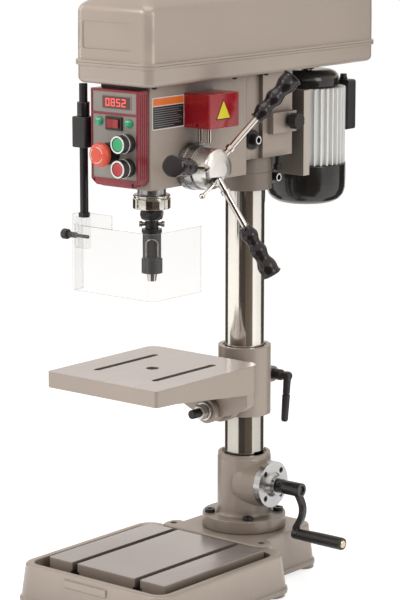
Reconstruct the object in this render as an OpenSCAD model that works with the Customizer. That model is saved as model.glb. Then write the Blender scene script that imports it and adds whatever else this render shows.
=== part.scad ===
// Bench drilling machine with a crank-raised column, belt drive and tilting table.
// +X is the operator's right, -Y the front, +Z up; the origin is the column axis at the underside.

/* [Base] */
// width of the tray across its rim
base_w = 320; // [300:1:360]
// distance from column axis to the front of the tray
base_front = 414; // [404:1:440]
// distance from column axis to the back of the tray, towards the front
base_back = 76; // [70:1:82]
// height of the machined top above the floor
base_h = 80; // [74:1:90]
// spacing of the two T slots, centre to centre
tslot_pitch = 140; // [110:1:160]
// width of the T slot opening
tslot_w = 12; // [10:0.5:16]
// radius of the two rear fixing holes
fix_hole_r = 6; // [4:0.5:7]

/* [Column] */
// radius of the column
col_r = 35; // [30:0.5:35]
// height of the column's upper end
col_top = 786; // [760:1:788]
// radius of the seat's flange
flange_r = 74; // [70:1:78]
// height of the crank axis
crank_z = 163; // [150:1:170]
// crank throw, axis to grip axis
crank_throw = 80; // [60:1:80]

/* [Table] */
// table width
table_w = 241; // [200:1:260]
// table front edge to column axis
table_front = 378; // [350:1:390]
// height of the table's top face
table_z = 406; // [400:1:410]
// plate thickness at the front
table_t = 27; // [20:1:30]
// radius of the hole under the spindle
table_hole_r = 11; // [6:0.5:16]
// height of the tilt pivot
tilt_z = 306; // [302:1:308]

/* [Head] */
// spindle axis to column axis
throat = 248; // [240:1:250]
// half width of the head casting
head_hw = 54; // [50:1:58]
// quill radius
quill_r = 24; // [20:0.5:25]
// height of the feed shaft
feed_z = 749; // [747:1:750]

/* [Cover] */
// width of the belt cover
cover_w = 165; // [155:1:180]
// height of the seam between pan and lid
seam_z = 924; // [920:1:930]
// height where the lid's walls end and its roof bevel starts
shoulder_z = 1015; // [1010:1:1030]

/* [Motor] */
// motor axis to column axis
motor_y = 173.5; // [173.5:0.5:176]
// outer radius over the cooling fins
motor_r = 69.5; // [66:0.5:70]
// number of cooling fins
fins = 36; // [20:1:40]

/* [Quality] */
// facets on round shapes
round_fn = 64; // [32:4:96]

/* [Hidden] */
$fn = round_fn;
eps = 0.01;
gap = 0.3;
run = 0.04;
paint = [0.73, 0.68, 0.63];
machined = [0.72, 0.69, 0.69];
chrome = [0.82, 0.82, 0.80];
steel = [0.60, 0.61, 0.62];
black = [0.07, 0.07, 0.08];
red = [0.62, 0.10, 0.16];
box_red = [0.78, 0.09, 0.14];
alu = [0.75, 0.76, 0.76];
clear = [0.85, 0.88, 0.90, 0.35];

// base
rim_h = base_h - 6;
skirt_h = 16;
foot_h = 6;
tray_l = base_front - base_back;
tray_y = -(base_front + base_back) / 2;
rim_in_x = base_w / 2 - 14;
rim_in_front = -base_front + 15;
rim_in_back = -base_back - 20;
moat_z = base_h - 28;
block_hw = 130;
block_front = -369;
block_back = -105;
tslot_depth = 24;
tslot_head_w = 20;
tslot_head_h = 9;
rear_hw = 94;
rear_y = 86;
fix_x = 99;
fix_y = -76;
plate_hw = 114;
plate_l = 42;
plate_y = -76;

// column seat
seat_h = 134;
seat_r = 47.5;
flange_t = 23;
seat_bolt_r = 61;
boss_r = 41;
boss_x = 53;
cflange_t = 13;
cneck_x = 79;
shaft_r = 10;
cscrew_r = 31;
col_in_r = 28;
col_bot = 60;
pit_z = 14;
slot_top = 218;
nut_z = 226;
nut_h = 24;
screw_r = 11;
pedestal_z = 137;
bevel_in = 11;
bevel_out = 19;
hub_end = 129;
grip_end = 219;
grip_r = 11;

// collars and clamps on the column
ring_r = 46.5;
lock_z = 684.5;
lock_h = 30.2;
ear_hw = 18;
ear_y = 60;
clamp_y = 52;

// table
arm_z = 285;
arm_h = 122;
bush_r = 38;
table_back = 107;
lug_front = -96;
lug_back = -76;
arm_front = -75.6;
lug_r = 22;
slot_x = 64;
arm_clamp_z = 347;

// head
head_bot = 719;
head_top = 890;
head_front = -314;
mid_y = -62;
rear_y0 = -20;
rear_y1 = 62;
rear_bot = 742;
feed_y = -211;
pinion_n = 15;
module_mm = 2;
pinion_r = pinion_n * module_mm / 2;
quill_bot = 678.5;
chuck_z = 3.5;
quill_top = 858;
rod_x = 30;
rod_z = 803;
rod_r = 9;
knob_y = 38;
stud_x = 46;
stud_y = 33;

// feed hub
hub_r = 34;
hub_front = 110;
ring_out = 38.5;
lever_tilt = 20.9;
lever_a0 = 50.6;
lever_x = 100;
lever_l = 203;
grip_l = 93;
lock_dy = -7;
lock_dz = -21;
lever_r = 5.5;

// cover
pan_z = 890;
cover_front = -347.5;
cover_back = 268;
cover_l = cover_back - cover_front;
cover_y = (cover_back + cover_front) / 2;
wall = 3;
lip = 4;
roof_z = 1040;
roof_in = 33;
hinge_x = -92;

// belt drive
step_h = 15;
step_z = 903;
spindle_steps = [62, 52, 42, 32];
belt_i = 1;
belt_in = 9.5;
belt_out = 1.5;
belt_h = 8;

// control box
box_hw = 51;
panel_y = -341;
box_bot = 725;
box_top = 883;
start_pos = [30, 798];
stop_pos = [30, 758];
estop_pos = [-7, 779];

// guard
post_x = -72;
post_y = -335;
post_r = 7;
guard_top = 654;
guard_knob_z = 634;
guard_bot = 543;
guard_hw_l = 91;
guard_hw_r = 86;
guard_y = -345;
guard_back = -222;

// rounded rectangle, centred
module rrect(w, l, r) {
  square([w - 2 * r, l], center = true);
  square([w, l - 2 * r], center = true);
  for (x = [-1, 1], y = [-1, 1])
    translate([x * (w / 2 - r), y * (l / 2 - r)])
      circle(r = r);
}

module rbox(w, l, h, r) {
  linear_extrude(h)
    rrect(w, l, r);
}

// box given by its two corners
module block(a, b) {
  translate(a)
    cube(b - a);
}

// cylinder along X from x0 to x1
module xcyl(r, x0, x1, y, z) {
  translate([x0, y, z])
    rotate([0, 90, 0])
      cylinder(r = r, h = x1 - x0);
}

// cylinder along Y from y0 to y1
module ycyl(r, y0, y1, x, z) {
  translate([x, y1, z])
    rotate([90, 0, 0])
      cylinder(r = r, h = y1 - y0);
}

module zcyl(r, z0, z1, x = 0, y = 0) {
  translate([x, y, z0])
    cylinder(r = r, h = z1 - z0);
}

// loft between two rounded rectangles
module loft(w0, l0, z0, w1, l1, z1, r) {
  hull() {
    translate([0, 0, z0])
      rbox(w0, l0, eps, r, $fn = 32);
    translate([0, 0, z1 - eps])
      rbox(w1, l1, eps, r, $fn = 32);
  }
}

// ---------- base ----------
module base_outer() {
  translate([0, tray_y, 0])
    loft(base_w + 10, tray_l + 10, skirt_h, base_w, tray_l, rim_h, 32);
  translate([0, tray_y, foot_h])
    rbox(base_w + 18, tray_l + 18, skirt_h - foot_h, 36);
  translate([0, (rear_y - 90) / 2, 0])
    loft(2 * rear_hw + 22, rear_y + 112, skirt_h, 2 * rear_hw, rear_y + 90, base_h, 28);
  // plate that joins the tray to the column pad
  translate([0, plate_y, 0])
    loft(2 * plate_hw + 12, plate_l + 10, skirt_h, 2 * plate_hw, plate_l, base_h, 16);
  translate([0, (rear_y - 90) / 2, foot_h])
    rbox(2 * rear_hw + 32, rear_y + 122, skirt_h - foot_h, 34);
}

module tslot(x) {
  block([x - tslot_w / 2, block_front - 1, base_h - tslot_depth],
    [x + tslot_w / 2, block_back + 1, base_h + 1]);
  block([x - tslot_head_w / 2, block_front - 1, base_h - tslot_depth],
    [x + tslot_head_w / 2, block_back + 1, base_h - tslot_depth + tslot_head_h]);
}

module base() {
  color(paint)
    difference() {
      union() {
        difference() {
          base_outer();
          // coolant moat round the raised block
          translate([0, (rim_in_front + rim_in_back) / 2, moat_z])
            rbox(2 * rim_in_x, rim_in_back - rim_in_front, base_h, 20);
          // hollow underside
          translate([0, tray_y, -1])
            rbox(base_w - 22, tray_l - 22, moat_z - 9, 24);
          translate([0, (rear_y - 60) / 2, -1])
            rbox(2 * rear_hw - 22, rear_y + 40, base_h - 15, 20);
        }
        block([-block_hw, block_front, moat_z - 1], [block_hw, block_back, base_h]);
        // feet
        for (x = [-1, 1], y = [-base_front + 24, -base_back - 24])
          zcyl(24, 0, foot_h + 6, x * (base_w / 2 - 20), y);
        for (x = [-1, 1])
          zcyl(20, 0, foot_h + 6, x * (rear_hw - 14), rear_y - 18);
        // bosses round the rear fixing holes
        for (x = [-1, 1])
          zcyl(13, foot_h, base_h - 14, x * fix_x, fix_y);
        // bosses under the seat bolts
        for (a = [45:90:315])
          rotate([0, 0, a])
            zcyl(12, base_h - 30, base_h - 10, seat_bolt_r, 0);
        // pedestal of the lifting screw, with its web
        zcyl(21, 0, pedestal_z);
        block([-rear_hw + 8, -10, foot_h], [rear_hw - 8, 10, 24]);
      }
      for (x = [-1, 1])
        tslot(x * tslot_pitch / 2);
      for (x = [-1, 1])
        zcyl(fix_hole_r, -1, base_h + 1, x * fix_x, fix_y);
      for (a = [45:90:315])
        rotate([0, 0, a])
          zcyl(5.05, base_h - 31, base_h + 1, seat_bolt_r, 0);
      // the column goes down into the base
      difference() {
        zcyl(col_r + 3, pit_z, base_h + 1);
        zcyl(21, 0, pedestal_z);
      }
      zcyl(shaft_r + run, 100, pedestal_z + 1);
    }
}

module column_seat() {
  color(paint)
    difference() {
      union() {
        zcyl(flange_r, base_h, base_h + flange_t);
        zcyl(seat_r + 3, base_h + 1, base_h + flange_t + 3);
        zcyl(seat_r, base_h + 2, base_h + seat_h);
        xcyl(boss_r, 15, boss_x, 0, crank_z);
      }
      zcyl(col_r + run, base_h - 1, base_h + seat_h + 1);
      translate([0, 0, base_h + seat_h - 3])
        cylinder(r1 = col_r + run, r2 = col_r + 4, h = 3 + eps);
      xcyl(24, 10, boss_x + 1, 0, crank_z);
      for (a = [45:90:315])
        rotate([0, 0, a])
          zcyl(5.5, base_h - 1, base_h + flange_t + 1, seat_bolt_r, 0);
      for (a = [45:90:315])
        translate([0, cscrew_r * cos(a), crank_z + cscrew_r * sin(a)])
          xcyl(3.05, 30, boss_x + 1, 0, 0);
    }
}

// socket head screw pointing down, head on z = 0
module socket_screw(head_r, head_h, shank_r, shank_l, key) {
  difference() {
    zcyl(head_r, 0, head_h);
    translate([0, 0, head_h / 2])
      cylinder(r = key, h = head_h, $fn = 6);
  }
  zcyl(shank_r, -shank_l, eps);
}

module seat_screws() {
  color(black) {
    for (a = [45:90:315])
      rotate([0, 0, a])
        translate([seat_bolt_r, 0, base_h + flange_t])
          socket_screw(9, 6, 5, flange_t + 22, 4.6);
    for (a = [45:90:315])
      translate([boss_x + 7, cscrew_r * cos(a), crank_z + cscrew_r * sin(a)])
        rotate([0, 90, 0])
          socket_screw(5, 5.4, 3, 20, 2.9);
  }
}

module crank_flange() {
  color(chrome)
    difference() {
      union() {
        xcyl(boss_r, boss_x, boss_x + cflange_t, 0, crank_z);
        xcyl(17.5, boss_x, cneck_x, 0, crank_z);
        xcyl(24, boss_x - 5, boss_x + 1, 0, crank_z);
        translate([boss_x + cflange_t - eps, 0, crank_z])
          rotate([0, 90, 0])
            cylinder(r1 = 22, r2 = 17.5, h = 6);
      }
      xcyl(shaft_r + run, 40, cneck_x + 1, 0, crank_z);
      for (a = [45:90:315]) {
        xcyl(3.3, 40, 80, cscrew_r * cos(a), crank_z + cscrew_r * sin(a));
        xcyl(5.2, boss_x + 7, 80, cscrew_r * cos(a), crank_z + cscrew_r * sin(a));
      }
    }
}

// ---------- crank ----------
module crank_shaft() {
  color(steel) {
    xcyl(shaft_r, 21, hub_end - 4, 0, crank_z);
    // bevel pinion at 45 degrees
    translate([bevel_in, 0, crank_z])
      rotate([0, 90, 0])
        cylinder(r1 = bevel_in - gap, r2 = bevel_out - gap, h = bevel_out - bevel_in);
    translate([bevel_out - eps, 0, crank_z])
      rotate([0, 90, 0])
        cylinder(r1 = bevel_out - gap, r2 = 13, h = 4);
  }
}

function bow(t) = 115 + 3 * t + 15 * sin(180 * min(1, t / 0.857));

module crank_arm() {
  steps = 14;
  color(black) {
    difference() {
      union() {
        xcyl(12.5, cneck_x + gap, hub_end, 0, crank_z);
        // bowed arm
        translate([0, 6.5, 0])
          rotate([90, 0, 0])
            linear_extrude(13)
              polygon(concat(
                [for (i = [0:steps]) [bow(i / steps) - 5.5, crank_z - crank_throw * i / steps]],
                [for (i = [steps:-1:0]) [bow(i / steps) + 5.5, crank_z - crank_throw * i / steps]]));
        xcyl(10, 112, 124, 0, crank_z - crank_throw);
      }
      xcyl(shaft_r, 60, hub_end - 4, 0, crank_z);
      xcyl(5, 100, 124.01, 0, crank_z - crank_throw);
    }
  }
  color(chrome) {
    xcyl(5, 112, grip_end - 3, 0, crank_z - crank_throw);
    xcyl(7, grip_end - 3, grip_end + 1, 0, crank_z - crank_throw);
  }
}

module crank_grip() {
  color(black)
    difference() {
      union() {
        xcyl(grip_r, 124 + gap, grip_end, 0, crank_z - crank_throw);
      }
      xcyl(5 + run, 120, grip_end + 1, 0, crank_z - crank_throw);
      xcyl(7.4, grip_end - 3.4, grip_end + 1, 0, crank_z - crank_throw);
    }
}

module lift_screw() {
  color(steel) {
    zcyl(shaft_r, 102, pedestal_z + 1);
    // bevel gear at 45 degrees
    zcyl(bevel_out - gap, pedestal_z + gap, crank_z - bevel_out + eps);
    translate([0, 0, crank_z - bevel_out])
      cylinder(r1 = bevel_out - gap, r2 = bevel_in - gap, h = bevel_out - bevel_in);
    zcyl(8, 140, 180);
    zcyl(screw_r, 179, 352);
  }
}

// ---------- column ----------
module column() {
  color(chrome)
    difference() {
      zcyl(col_r, col_bot, col_top);
      zcyl(col_in_r, col_bot - 1, col_top - 8);
      block([15, -12.5, col_bot - 1], [col_r + 2, 12.5, slot_top]);
    }
}

module lift_nut() {
  color([0.72, 0.58, 0.28])
    difference() {
      zcyl(col_in_r, nut_z, nut_z + nut_h);
      zcyl(screw_r + run, nut_z - 1, nut_z + nut_h + 1);
    }
}

// split collar with clamp ears towards the back
module split_ring(r_in, z, h, split) {
  difference() {
    union() {
      zcyl(ring_r, z, z + h);
      block([-ear_hw, 30, z + 3], [ear_hw, ear_y, z + h - 3]);
    }
    zcyl(r_in, z - 1, z + h + 1);
    block([-split / 2, 20, z - 1], [split / 2, ear_y + 1, z + h + 1]);
  }
}

module lock_collar() {
  color(paint)
    difference() {
      split_ring(col_r, lock_z, lock_h, 3);
      xcyl(5.5, -30, 30, clamp_y, lock_z + lock_h / 2);
    }
}

module lock_collar_bolt() {
  color(black)
    translate([ear_hw, clamp_y, lock_z + lock_h / 2])
      rotate([0, 90, 0])
        socket_screw(8, 16, 5, 2 * ear_hw, 4.6);
}

// ---------- head ----------
module head_solid() {
  // spindle housing
  translate([0, (head_front + mid_y) / 2, head_bot])
    rbox(2 * head_hw, mid_y - head_front, head_top - head_bot, 4);
  zcyl(quill_r + 5, head_bot - 5, head_bot + 1, 0, -throat);
  // recessed neck
  block([-head_hw + 8, mid_y - 20, rear_bot], [head_hw - 8, rear_y0 + 10, head_top]);
  // column block with its ring
  block([-head_hw, rear_y0, rear_bot], [head_hw, rear_y1, head_top]);
  zcyl(ring_r, lock_z + lock_h + gap, rear_bot + 1);
  // boss of the belt tension knob
  block([head_hw - 1, -6, rod_z - 20], [head_hw + 12, 59, rod_z + 16]);
}

module head_casting() {
  color(paint)
    difference() {
      head_solid();
      zcyl(quill_r + run, head_bot - 10, 860, 0, -throat);
      zcyl(16 + run, 859, head_top + 1, 0, -throat);
      // feed shaft bore and pinion pocket
      xcyl(12 + run, -60, 60, feed_y, feed_z);
      xcyl(pinion_r + 4, -10, 10, feed_y, feed_z);
      // cored inside
      block([-head_hw + 10, -188, head_bot + 12], [head_hw - 10, mid_y - 12, head_top + 1]);
      zcyl(col_r + run, 700, col_top + 1);
      for (x = [-1, 1])
        ycyl(rod_r + run, rear_y0 - 20, rear_y1 + 1, x * rod_x, rod_z);
      xcyl(5 + run, rod_x + 2, 70, knob_y, rod_z);
      xcyl(5.05, 20, 60, -41, 776);
      zcyl(4.5, 700, 760, stud_x, stud_y);
    }
}

module head_clamp_bolts() {
  color(black) {
    difference() {
      xcyl(17, head_hw - 8, head_hw - 4, -41, 776);
      xcyl(5.05, 20, 60, -41, 776);
    }
    translate([head_hw - 4, -41, 776])
      rotate([0, 90, 0])
        socket_screw(9.5, 12, 5, 22, 5.2);
  }
  color(steel)
    zcyl(4.5, 716, 760, stud_x, stud_y);
  color(black)
    difference() {
      translate([stud_x, stud_y, 717])
        cylinder(r = 8, h = 9, $fn = 6);
      zcyl(4.5, 700, 760, stud_x, stud_y);
    }
}

module spring_cap() {
  color(black)
    difference() {
      xcyl(30, -78, -head_hw, feed_y, feed_z);
      xcyl(26, -75, -head_hw + 1, feed_y, feed_z);
    }
}

// ---------- belt cover ----------
module pan_outer() {
  translate([0, cover_y, 0]) {
    loft(cover_w - 16, cover_l - 16, pan_z, cover_w, cover_l, pan_z + 8, 18);
    translate([0, 0, pan_z + 8 - eps])
      rbox(cover_w, cover_l, seam_z - pan_z - 8, 20);
    translate([0, 0, seam_z - 4])
      rbox(cover_w + 2 * lip, cover_l + 2 * lip, 4, 24);
  }
}

module cover_pan() {
  color(paint)
    difference() {
      union() {
        difference() {
          pan_outer();
          translate([0, cover_y, pan_z + wall])
            rbox(cover_w - 20, cover_l - 20, seam_z, 16);
          translate([0, cover_y, pan_z + 9])
            rbox(cover_w - 2 * wall, cover_l - 2 * wall, seam_z, 17);
        }
      }
      zcyl(22, pan_z - 1, pan_z + 5, 0, -throat);
      translate([0, motor_y - 5, pan_z - 1])
        linear_extrude(6) {
          square([28, 14], center = true);
          translate([0, 7])
            circle(r = 14);
          translate([0, -7])
            circle(r = 14);
        }
    }
}

module lid_hinge() {
  color(steel)
    for (y = [-200, 110]) {
      ycyl(2.5, y - 24, y + 24, hinge_x, seam_z);
      difference() {
        union() {
          ycyl(4.6, y - 24, y - 10, hinge_x, seam_z);
          ycyl(4.6, y + 10, y + 24, hinge_x, seam_z);
        }
        ycyl(2.5, y - 25, y + 25, hinge_x, seam_z);
      }
      for (s = [-1, 1])
        block([hinge_x - 4, y + s * 17 - 7, seam_z - 10],
          [-cover_w / 2 - lip, y + s * 17 + 7, seam_z - 4.2]);
      block([-cover_w / 2 - lip, y - 24, seam_z - 16],
        [-cover_w / 2, y + 24, seam_z - 4]);
    }
}

module cover_lid() {
  color(paint) {
    difference() {
      translate([0, cover_y, 0]) {
        translate([0, 0, seam_z + gap])
          rbox(cover_w + 2 * lip, cover_l + 2 * lip, 4, 24);
        translate([0, 0, seam_z + gap])
          rbox(cover_w, cover_l, shoulder_z - seam_z - gap, 20);
        loft(cover_w, cover_l, shoulder_z - eps, cover_w - 2 * roof_in, cover_l - 2 * roof_in,
          roof_z, 20);
      }
      translate([0, cover_y, 0]) {
        translate([0, 0, seam_z - 1])
          rbox(cover_w - 2 * wall, cover_l - 2 * wall, shoulder_z - seam_z, 17);
        loft(cover_w - 2 * wall, cover_l - 2 * wall, shoulder_z - 1.2,
          cover_w - 2 * wall - 2 * roof_in, cover_l - 2 * wall - 2 * roof_in, roof_z - wall, 17);
      }
      // shallow recess on the front
      block([-61, cover_front - 1, 947], [43, cover_front + 1, 992]);
    }
    for (y = [-200, 110]) {
      difference() {
        ycyl(4.6, y - 9.6, y + 9.6, hinge_x, seam_z);
        ycyl(2.5 + run, y - 25, y + 25, hinge_x, seam_z);
      }
      block([hinge_x + 3.4, y - 9.6, seam_z + 0.6], [-cover_w / 2 - lip + 1, y + 9.6, seam_z + 4.2]);
    }
  }
}

// ---------- belt drive ----------
module v_pulley(steps, z, bore, hub_r, z_hub0, z_hub1) {
  difference() {
    union() {
      for (i = [0:3])
        translate([0, 0, z + i * step_h])
          rotate_extrude()
            polygon([[0, 0], [steps[i], 0], [steps[i], 1.1], [steps[i] - 10, 3.2],
              [steps[i] - 10, step_h - 3.2], [steps[i], step_h - 1.1], [steps[i], step_h],
              [0, step_h]]);
      zcyl(hub_r, z_hub0, z_hub1);
    }
    zcyl(bore, z_hub0 - 1, z_hub1 + 1);
  }
}

module spindle_pulley() {
  color(alu)
    translate([0, -throat, 0])
      v_pulley(spindle_steps, step_z, 9 + run, 16, 861, 974);
}

module motor_pulley() {
  color(alu)
    translate([0, motor_y, 0])
      v_pulley([for (i = [3:-1:0]) spindle_steps[i]], step_z, 9.5, 16, 896, 968);
}

function arc(c, r, a0, a1, n) = [for (i = [0:n]) let (a = a0 + (a1 - a0) * i / n)
  [r * cos(a), c + r * sin(a)]];

// loop round two pulleys of radii ra (spindle) and rb (motor)
module loop(ra, rb, z, h) {
  t = asin((ra - rb) / (motor_y + throat));
  translate([0, 0, z])
    linear_extrude(h)
      polygon(concat(arc(motor_y, rb, t, 180 - t, 30), arc(-throat, ra, 180 - t, 360 + t, 30)));
}

module v_belt() {
  ra = spindle_steps[belt_i];
  rb = spindle_steps[3 - belt_i];
  z = step_z + belt_i * step_h + (step_h - belt_h) / 2;
  color(black)
    difference() {
      loop(ra - belt_out, rb - belt_out, z, belt_h);
      loop(ra - belt_in, rb - belt_in, z - 1, belt_h + 2);
    }
}

// ---------- motor ----------
module motor_plate() {
  color(paint)
    difference() {
      block([-62, 85, 701], [62, 102, 850]);
      for (x = [-1, 1])
        ycyl(6, 80, 110, x * rod_x, rod_z);
    }
  color(steel)
    for (x = [-1, 1]) {
      ycyl(rod_r, -12, 85, x * rod_x, rod_z);
      ycyl(6, 84, 102, x * rod_x, rod_z);
    }
}

module motor_body() {
  color(alu)
    difference() {
      translate([0, motor_y, 712])
        union() {
          linear_extrude(135) {
            circle(r = motor_r - 8);
            for (i = [0:fins - 1])
              rotate(i * 360 / fins)
                translate([motor_r - 10, -1.3])
                  square([10, 2.6]);
          }
          // flats for the mounting plate and the terminal box
          block([-40, -motor_y + 102, 4], [40, 0, 128]);
          block([-32, 0, 54], [32, 71.5, 131]);
        }
      zcyl(9.5 + run, 700, 860, 0, motor_y);
      zcyl(40, 730, 820, 0, motor_y);
    }
}

module motor_covers() {
  color(black) {
    difference() {
      translate([0, motor_y, 0])
        rotate_extrude()
          polygon([[11, 847], [58, 847], [58, 866], [54, 873], [47, 877], [40, 878], [11, 878]]);
    }
    difference() {
      translate([0, motor_y, 0])
        rotate_extrude()
          polygon([[0, 640], [42, 640], [53, 642.5], [62, 648], [68, 656], [71, 666], [71.5, 676],
            [71.5, 712], [68.5, 712], [68.5, 677], [68, 667], [65.3, 657.5], [60, 650.3], [52, 645.4],
            [42, 643], [0, 643]]);
      block([-80, motor_y - 80, 630], [80, 102.02, 720]);
      for (i = [0:11])
        translate([0, motor_y, 637])
          rotate([0, 0, i * 30])
            block([22, -3, 0], [50, 3, 10]);
    }
  }
}

module terminal_box() {
  color(black) {
    translate([0, motor_y + 83.5, 765])
      rbox(80, 24, 89, 5);
    zcyl(7, 853, 864, 20, motor_y + 83.5);
  }
}

module motor_shaft() {
  color(steel)
    translate([0, motor_y, 0]) {
      zcyl(9.5, 687, 972);
      // cooling fan
      zcyl(20, 662, 688);
      for (i = [0:6])
        rotate([0, 0, i * 360 / 7])
          block([15, -1.2, 662.5], [58, 1.2, 687]);
    }
}

module tension_knob() {
  color(black) {
    xcyl(8, head_hw + 12 + gap, 75, knob_y, rod_z);
    difference() {
      xcyl(14, 74, 89, knob_y, rod_z);
      for (i = [0:7])
        translate([0, knob_y, rod_z])
          rotate([i * 45, 0, 0])
            xcyl(2.2, 70, 90, 15, 0);
    }
  }
  color(steel)
    xcyl(5, rod_x + rod_r + gap, head_hw + 13, knob_y, rod_z);
}

// ---------- quill and spindle ----------
module quill() {
  color(steel)
    difference() {
      zcyl(quill_r, quill_bot, quill_top, 0, -throat);
      zcyl(10 + run, quill_bot - 1, quill_top + 1, 0, -throat);
      for (i = [-1:14])
        translate([0, -throat, feed_z + i * PI * module_mm])
          rack_gap();
    }
}

// one gap between rack teeth; the pitch line lies pinion_r in front of the feed shaft
module rack_gap() {
  y = throat + feed_y - pinion_r;
  translate([-8.4, 0, 0])
    rotate([90, 0, 90])
      linear_extrude(16.8)
        polygon([[y - 2.3, -0.85], [y - 2.3, 0.85], [y + 4, 3.1], [y + 4, -3.1]]);
}

module quill_collar() {
  color(chrome)
    difference() {
      union() {
        zcyl(32, quill_bot, quill_bot + 22, 0, -throat);
        zcyl(29.5, quill_bot, quill_bot + 24, 0, -throat);
      }
      zcyl(quill_r, quill_bot - 1, quill_bot + 30, 0, -throat);
    }
}

module spindle() {
  color(steel)
    translate([0, -throat, 0]) {
      zcyl(10, 640 + chuck_z, 857);
      zcyl(9, 856, 984);
      zcyl(14, 655 + chuck_z, quill_bot - gap);
    }
}

module spindle_nut() {
  color(black)
    difference() {
      union() {
        translate([0, -throat, 657 + chuck_z])
          intersection() {
            cylinder(r = 21, h = 16.5, $fn = 6);
            cylinder(r1 = 17.5, r2 = 24, h = 16.5);
            translate([0, 0, -4])
              cylinder(r1 = 26, r2 = 17.5, h = 20.5);
          }
        zcyl(11, 640 + chuck_z, 658 + chuck_z, 0, -throat);
      }
      zcyl(14 + run, 655 + chuck_z, 700, 0, -throat);
      zcyl(10 + run, 600, 700, 0, -throat);
    }
  color(chrome)
    translate([0, -throat, 648 + chuck_z])
      for (a = [0, 180])
        rotate([0, 0, a + 38])
          difference() {
            union() {
              xcyl(3, 11, 18, 0, 0);
              xcyl(5, 16, 21, 0, 0);
            }
            zcyl(11, -10, 10);
          }
}

module chuck_body() {
  color([0.20, 0.20, 0.21])
    difference() {
      translate([0, -throat, chuck_z])
        union() {
          zcyl(17, 634, 640);
          zcyl(15.5, 574, 635);
          zcyl(17.5, 566, 590);
        }
      zcyl(9, 560, 650, 0, -throat);
      // drift window, round at its upper end
      translate([0, -throat, chuck_z])
        rotate([0, 0, 40]) {
          ycyl(9.5, -30, 30, 0, 614);
          block([-9.5, -30, 592], [9.5, 30, 614]);
        }
    }
}

module chuck_jaws() {
  color(steel)
    translate([0, -throat, chuck_z])
      difference() {
        union() {
          zcyl(9, 566, 590);
          translate([0, 0, 552])
            cylinder(r1 = 7, r2 = 9, h = 14.01);
        }
        zcyl(3, 540, 600);
        for (a = [0:120:240])
          rotate([0, 0, a])
            block([2, -0.8, 540], [20, 0.8, 584]);
      }
}

// ---------- feed ----------
function inv(rb, t) = [rb * (cos(t) + t * PI / 180 * sin(t)), rb * (sin(t) - t * PI / 180 * cos(t))];
function rot(p, a) = [p[0] * cos(a) - p[1] * sin(a), p[0] * sin(a) + p[1] * cos(a)];

// involute pinion outline with a little backlash
module pinion(n, m) {
  rp = n * m / 2;
  rb = rp * cos(20);
  ra = rp + 0.95 * m;
  rf = rp - 1.2 * m;
  tp = sqrt(pow(rp / rb, 2) - 1) * 180 / PI;
  ta = sqrt(pow(ra / rb, 2) - 1) * 180 / PI;
  ap = atan2(inv(rb, tp)[1], inv(rb, tp)[0]);
  half = 90 / n - 1.1;
  circle(r = rf);
  for (i = [0:n - 1])
    rotate(i * 360 / n)
      polygon(concat(
        [rot([rf - 1, 0], -half - ap)],
        [for (j = [0:5]) rot(inv(rb, ta * j / 5), -half - ap)],
        [for (j = [5:-1:0]) let (q = inv(rb, ta * j / 5)) rot([q[0], -q[1]], half + ap)],
        [rot([rf - 1, 0], half + ap)]));
}

module feed_shaft() {
  color(steel) {
    xcyl(12, 8, head_hw + 1, feed_y, feed_z);
    xcyl(12, -head_hw - 8, -8, feed_y, feed_z);
    translate([-8, feed_y, feed_z])
      rotate([0, 90, 0])
        linear_extrude(16)
          rotate(-90)
            pinion(pinion_n, module_mm);
  }
}

// places children along lever i, from the hub's centre outwards on Z
module lever(i) {
  translate([lever_x, feed_y, feed_z])
    rotate([lever_a0 + 120 * i - 90, 0, 0])
      rotate([0, lever_tilt, 0])
        children();
}

module feed_hub() {
  color(chrome)
    difference() {
      union() {
        xcyl(22, head_hw + gap, 90, feed_y, feed_z);
        xcyl(hub_r, 82, hub_front, feed_y, feed_z);
        translate([hub_front - eps, feed_y, feed_z])
          rotate([0, 90, 0])
            rotate_extrude()
              polygon([[0, 0], [hub_r, 0], [hub_r - 0.6, 2.4], [hub_r - 2.4, 4.6], [hub_r - 5.5, 6.4],
                [22, 8.6], [12, 10.4], [0, 11]]);
      }
      xcyl(12, 50, head_hw + 1, feed_y, feed_z);
      for (i = [0:2])
        lever(i)
          zcyl(lever_r, 18, 60);
      // flat milled for the ring lock, and its bore
      block([102, feed_y - 40, feed_z - 40], [130, feed_y + 40, feed_z - 11]);
      xcyl(3 + run, 92, 110, feed_y + lock_dy, feed_z + lock_dz);
    }
}

module feed_rods() {
  color(chrome)
    for (i = [0:2])
      lever(i) {
        zcyl(lever_r, 18, lever_l - 20);
        zcyl(8, 40.5, 47.5);
      }
}

module feed_grips() {
  g0 = lever_l - grip_l;
  color([0.13, 0.09, 0.12])
    for (i = [0:2])
      lever(i)
        difference() {
          translate([0, 0, g0])
            rotate_extrude()
              polygon(concat([[0, 0], [11, 0]],
                [for (k = [0:20]) let (u = k / 20)
                  [11.5 + 2.5 * u + 2.2 * sin(1080 * u - 90) + 3.2 * pow(u, 6), 4 + (grip_l - 8) * u]],
                [[17.5, grip_l - 2], [15, grip_l], [0, grip_l]]));
          zcyl(lever_r, g0 - 1, lever_l - 20);
        }
}

module depth_ring() {
  color(chrome)
    difference() {
      union() {
        xcyl(ring_out, head_hw + 0.8, 65, feed_y, feed_z);
        xcyl(ring_out - 0.8, 64, 66, feed_y, feed_z);
        xcyl(ring_out - 1.6, 66, 81.6, feed_y, feed_z);
      }
      xcyl(22 + run, 50, 90, feed_y, feed_z);
    }
  color(black)
    difference() {
      block([61, feed_y - 7, feed_z + 26], [78, feed_y + 7, feed_z + 40.3]);
      xcyl(ring_out, 50, 66, feed_y, feed_z);
      xcyl(ring_out - 1.6, 60, 90, feed_y, feed_z);
    }
}

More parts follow.
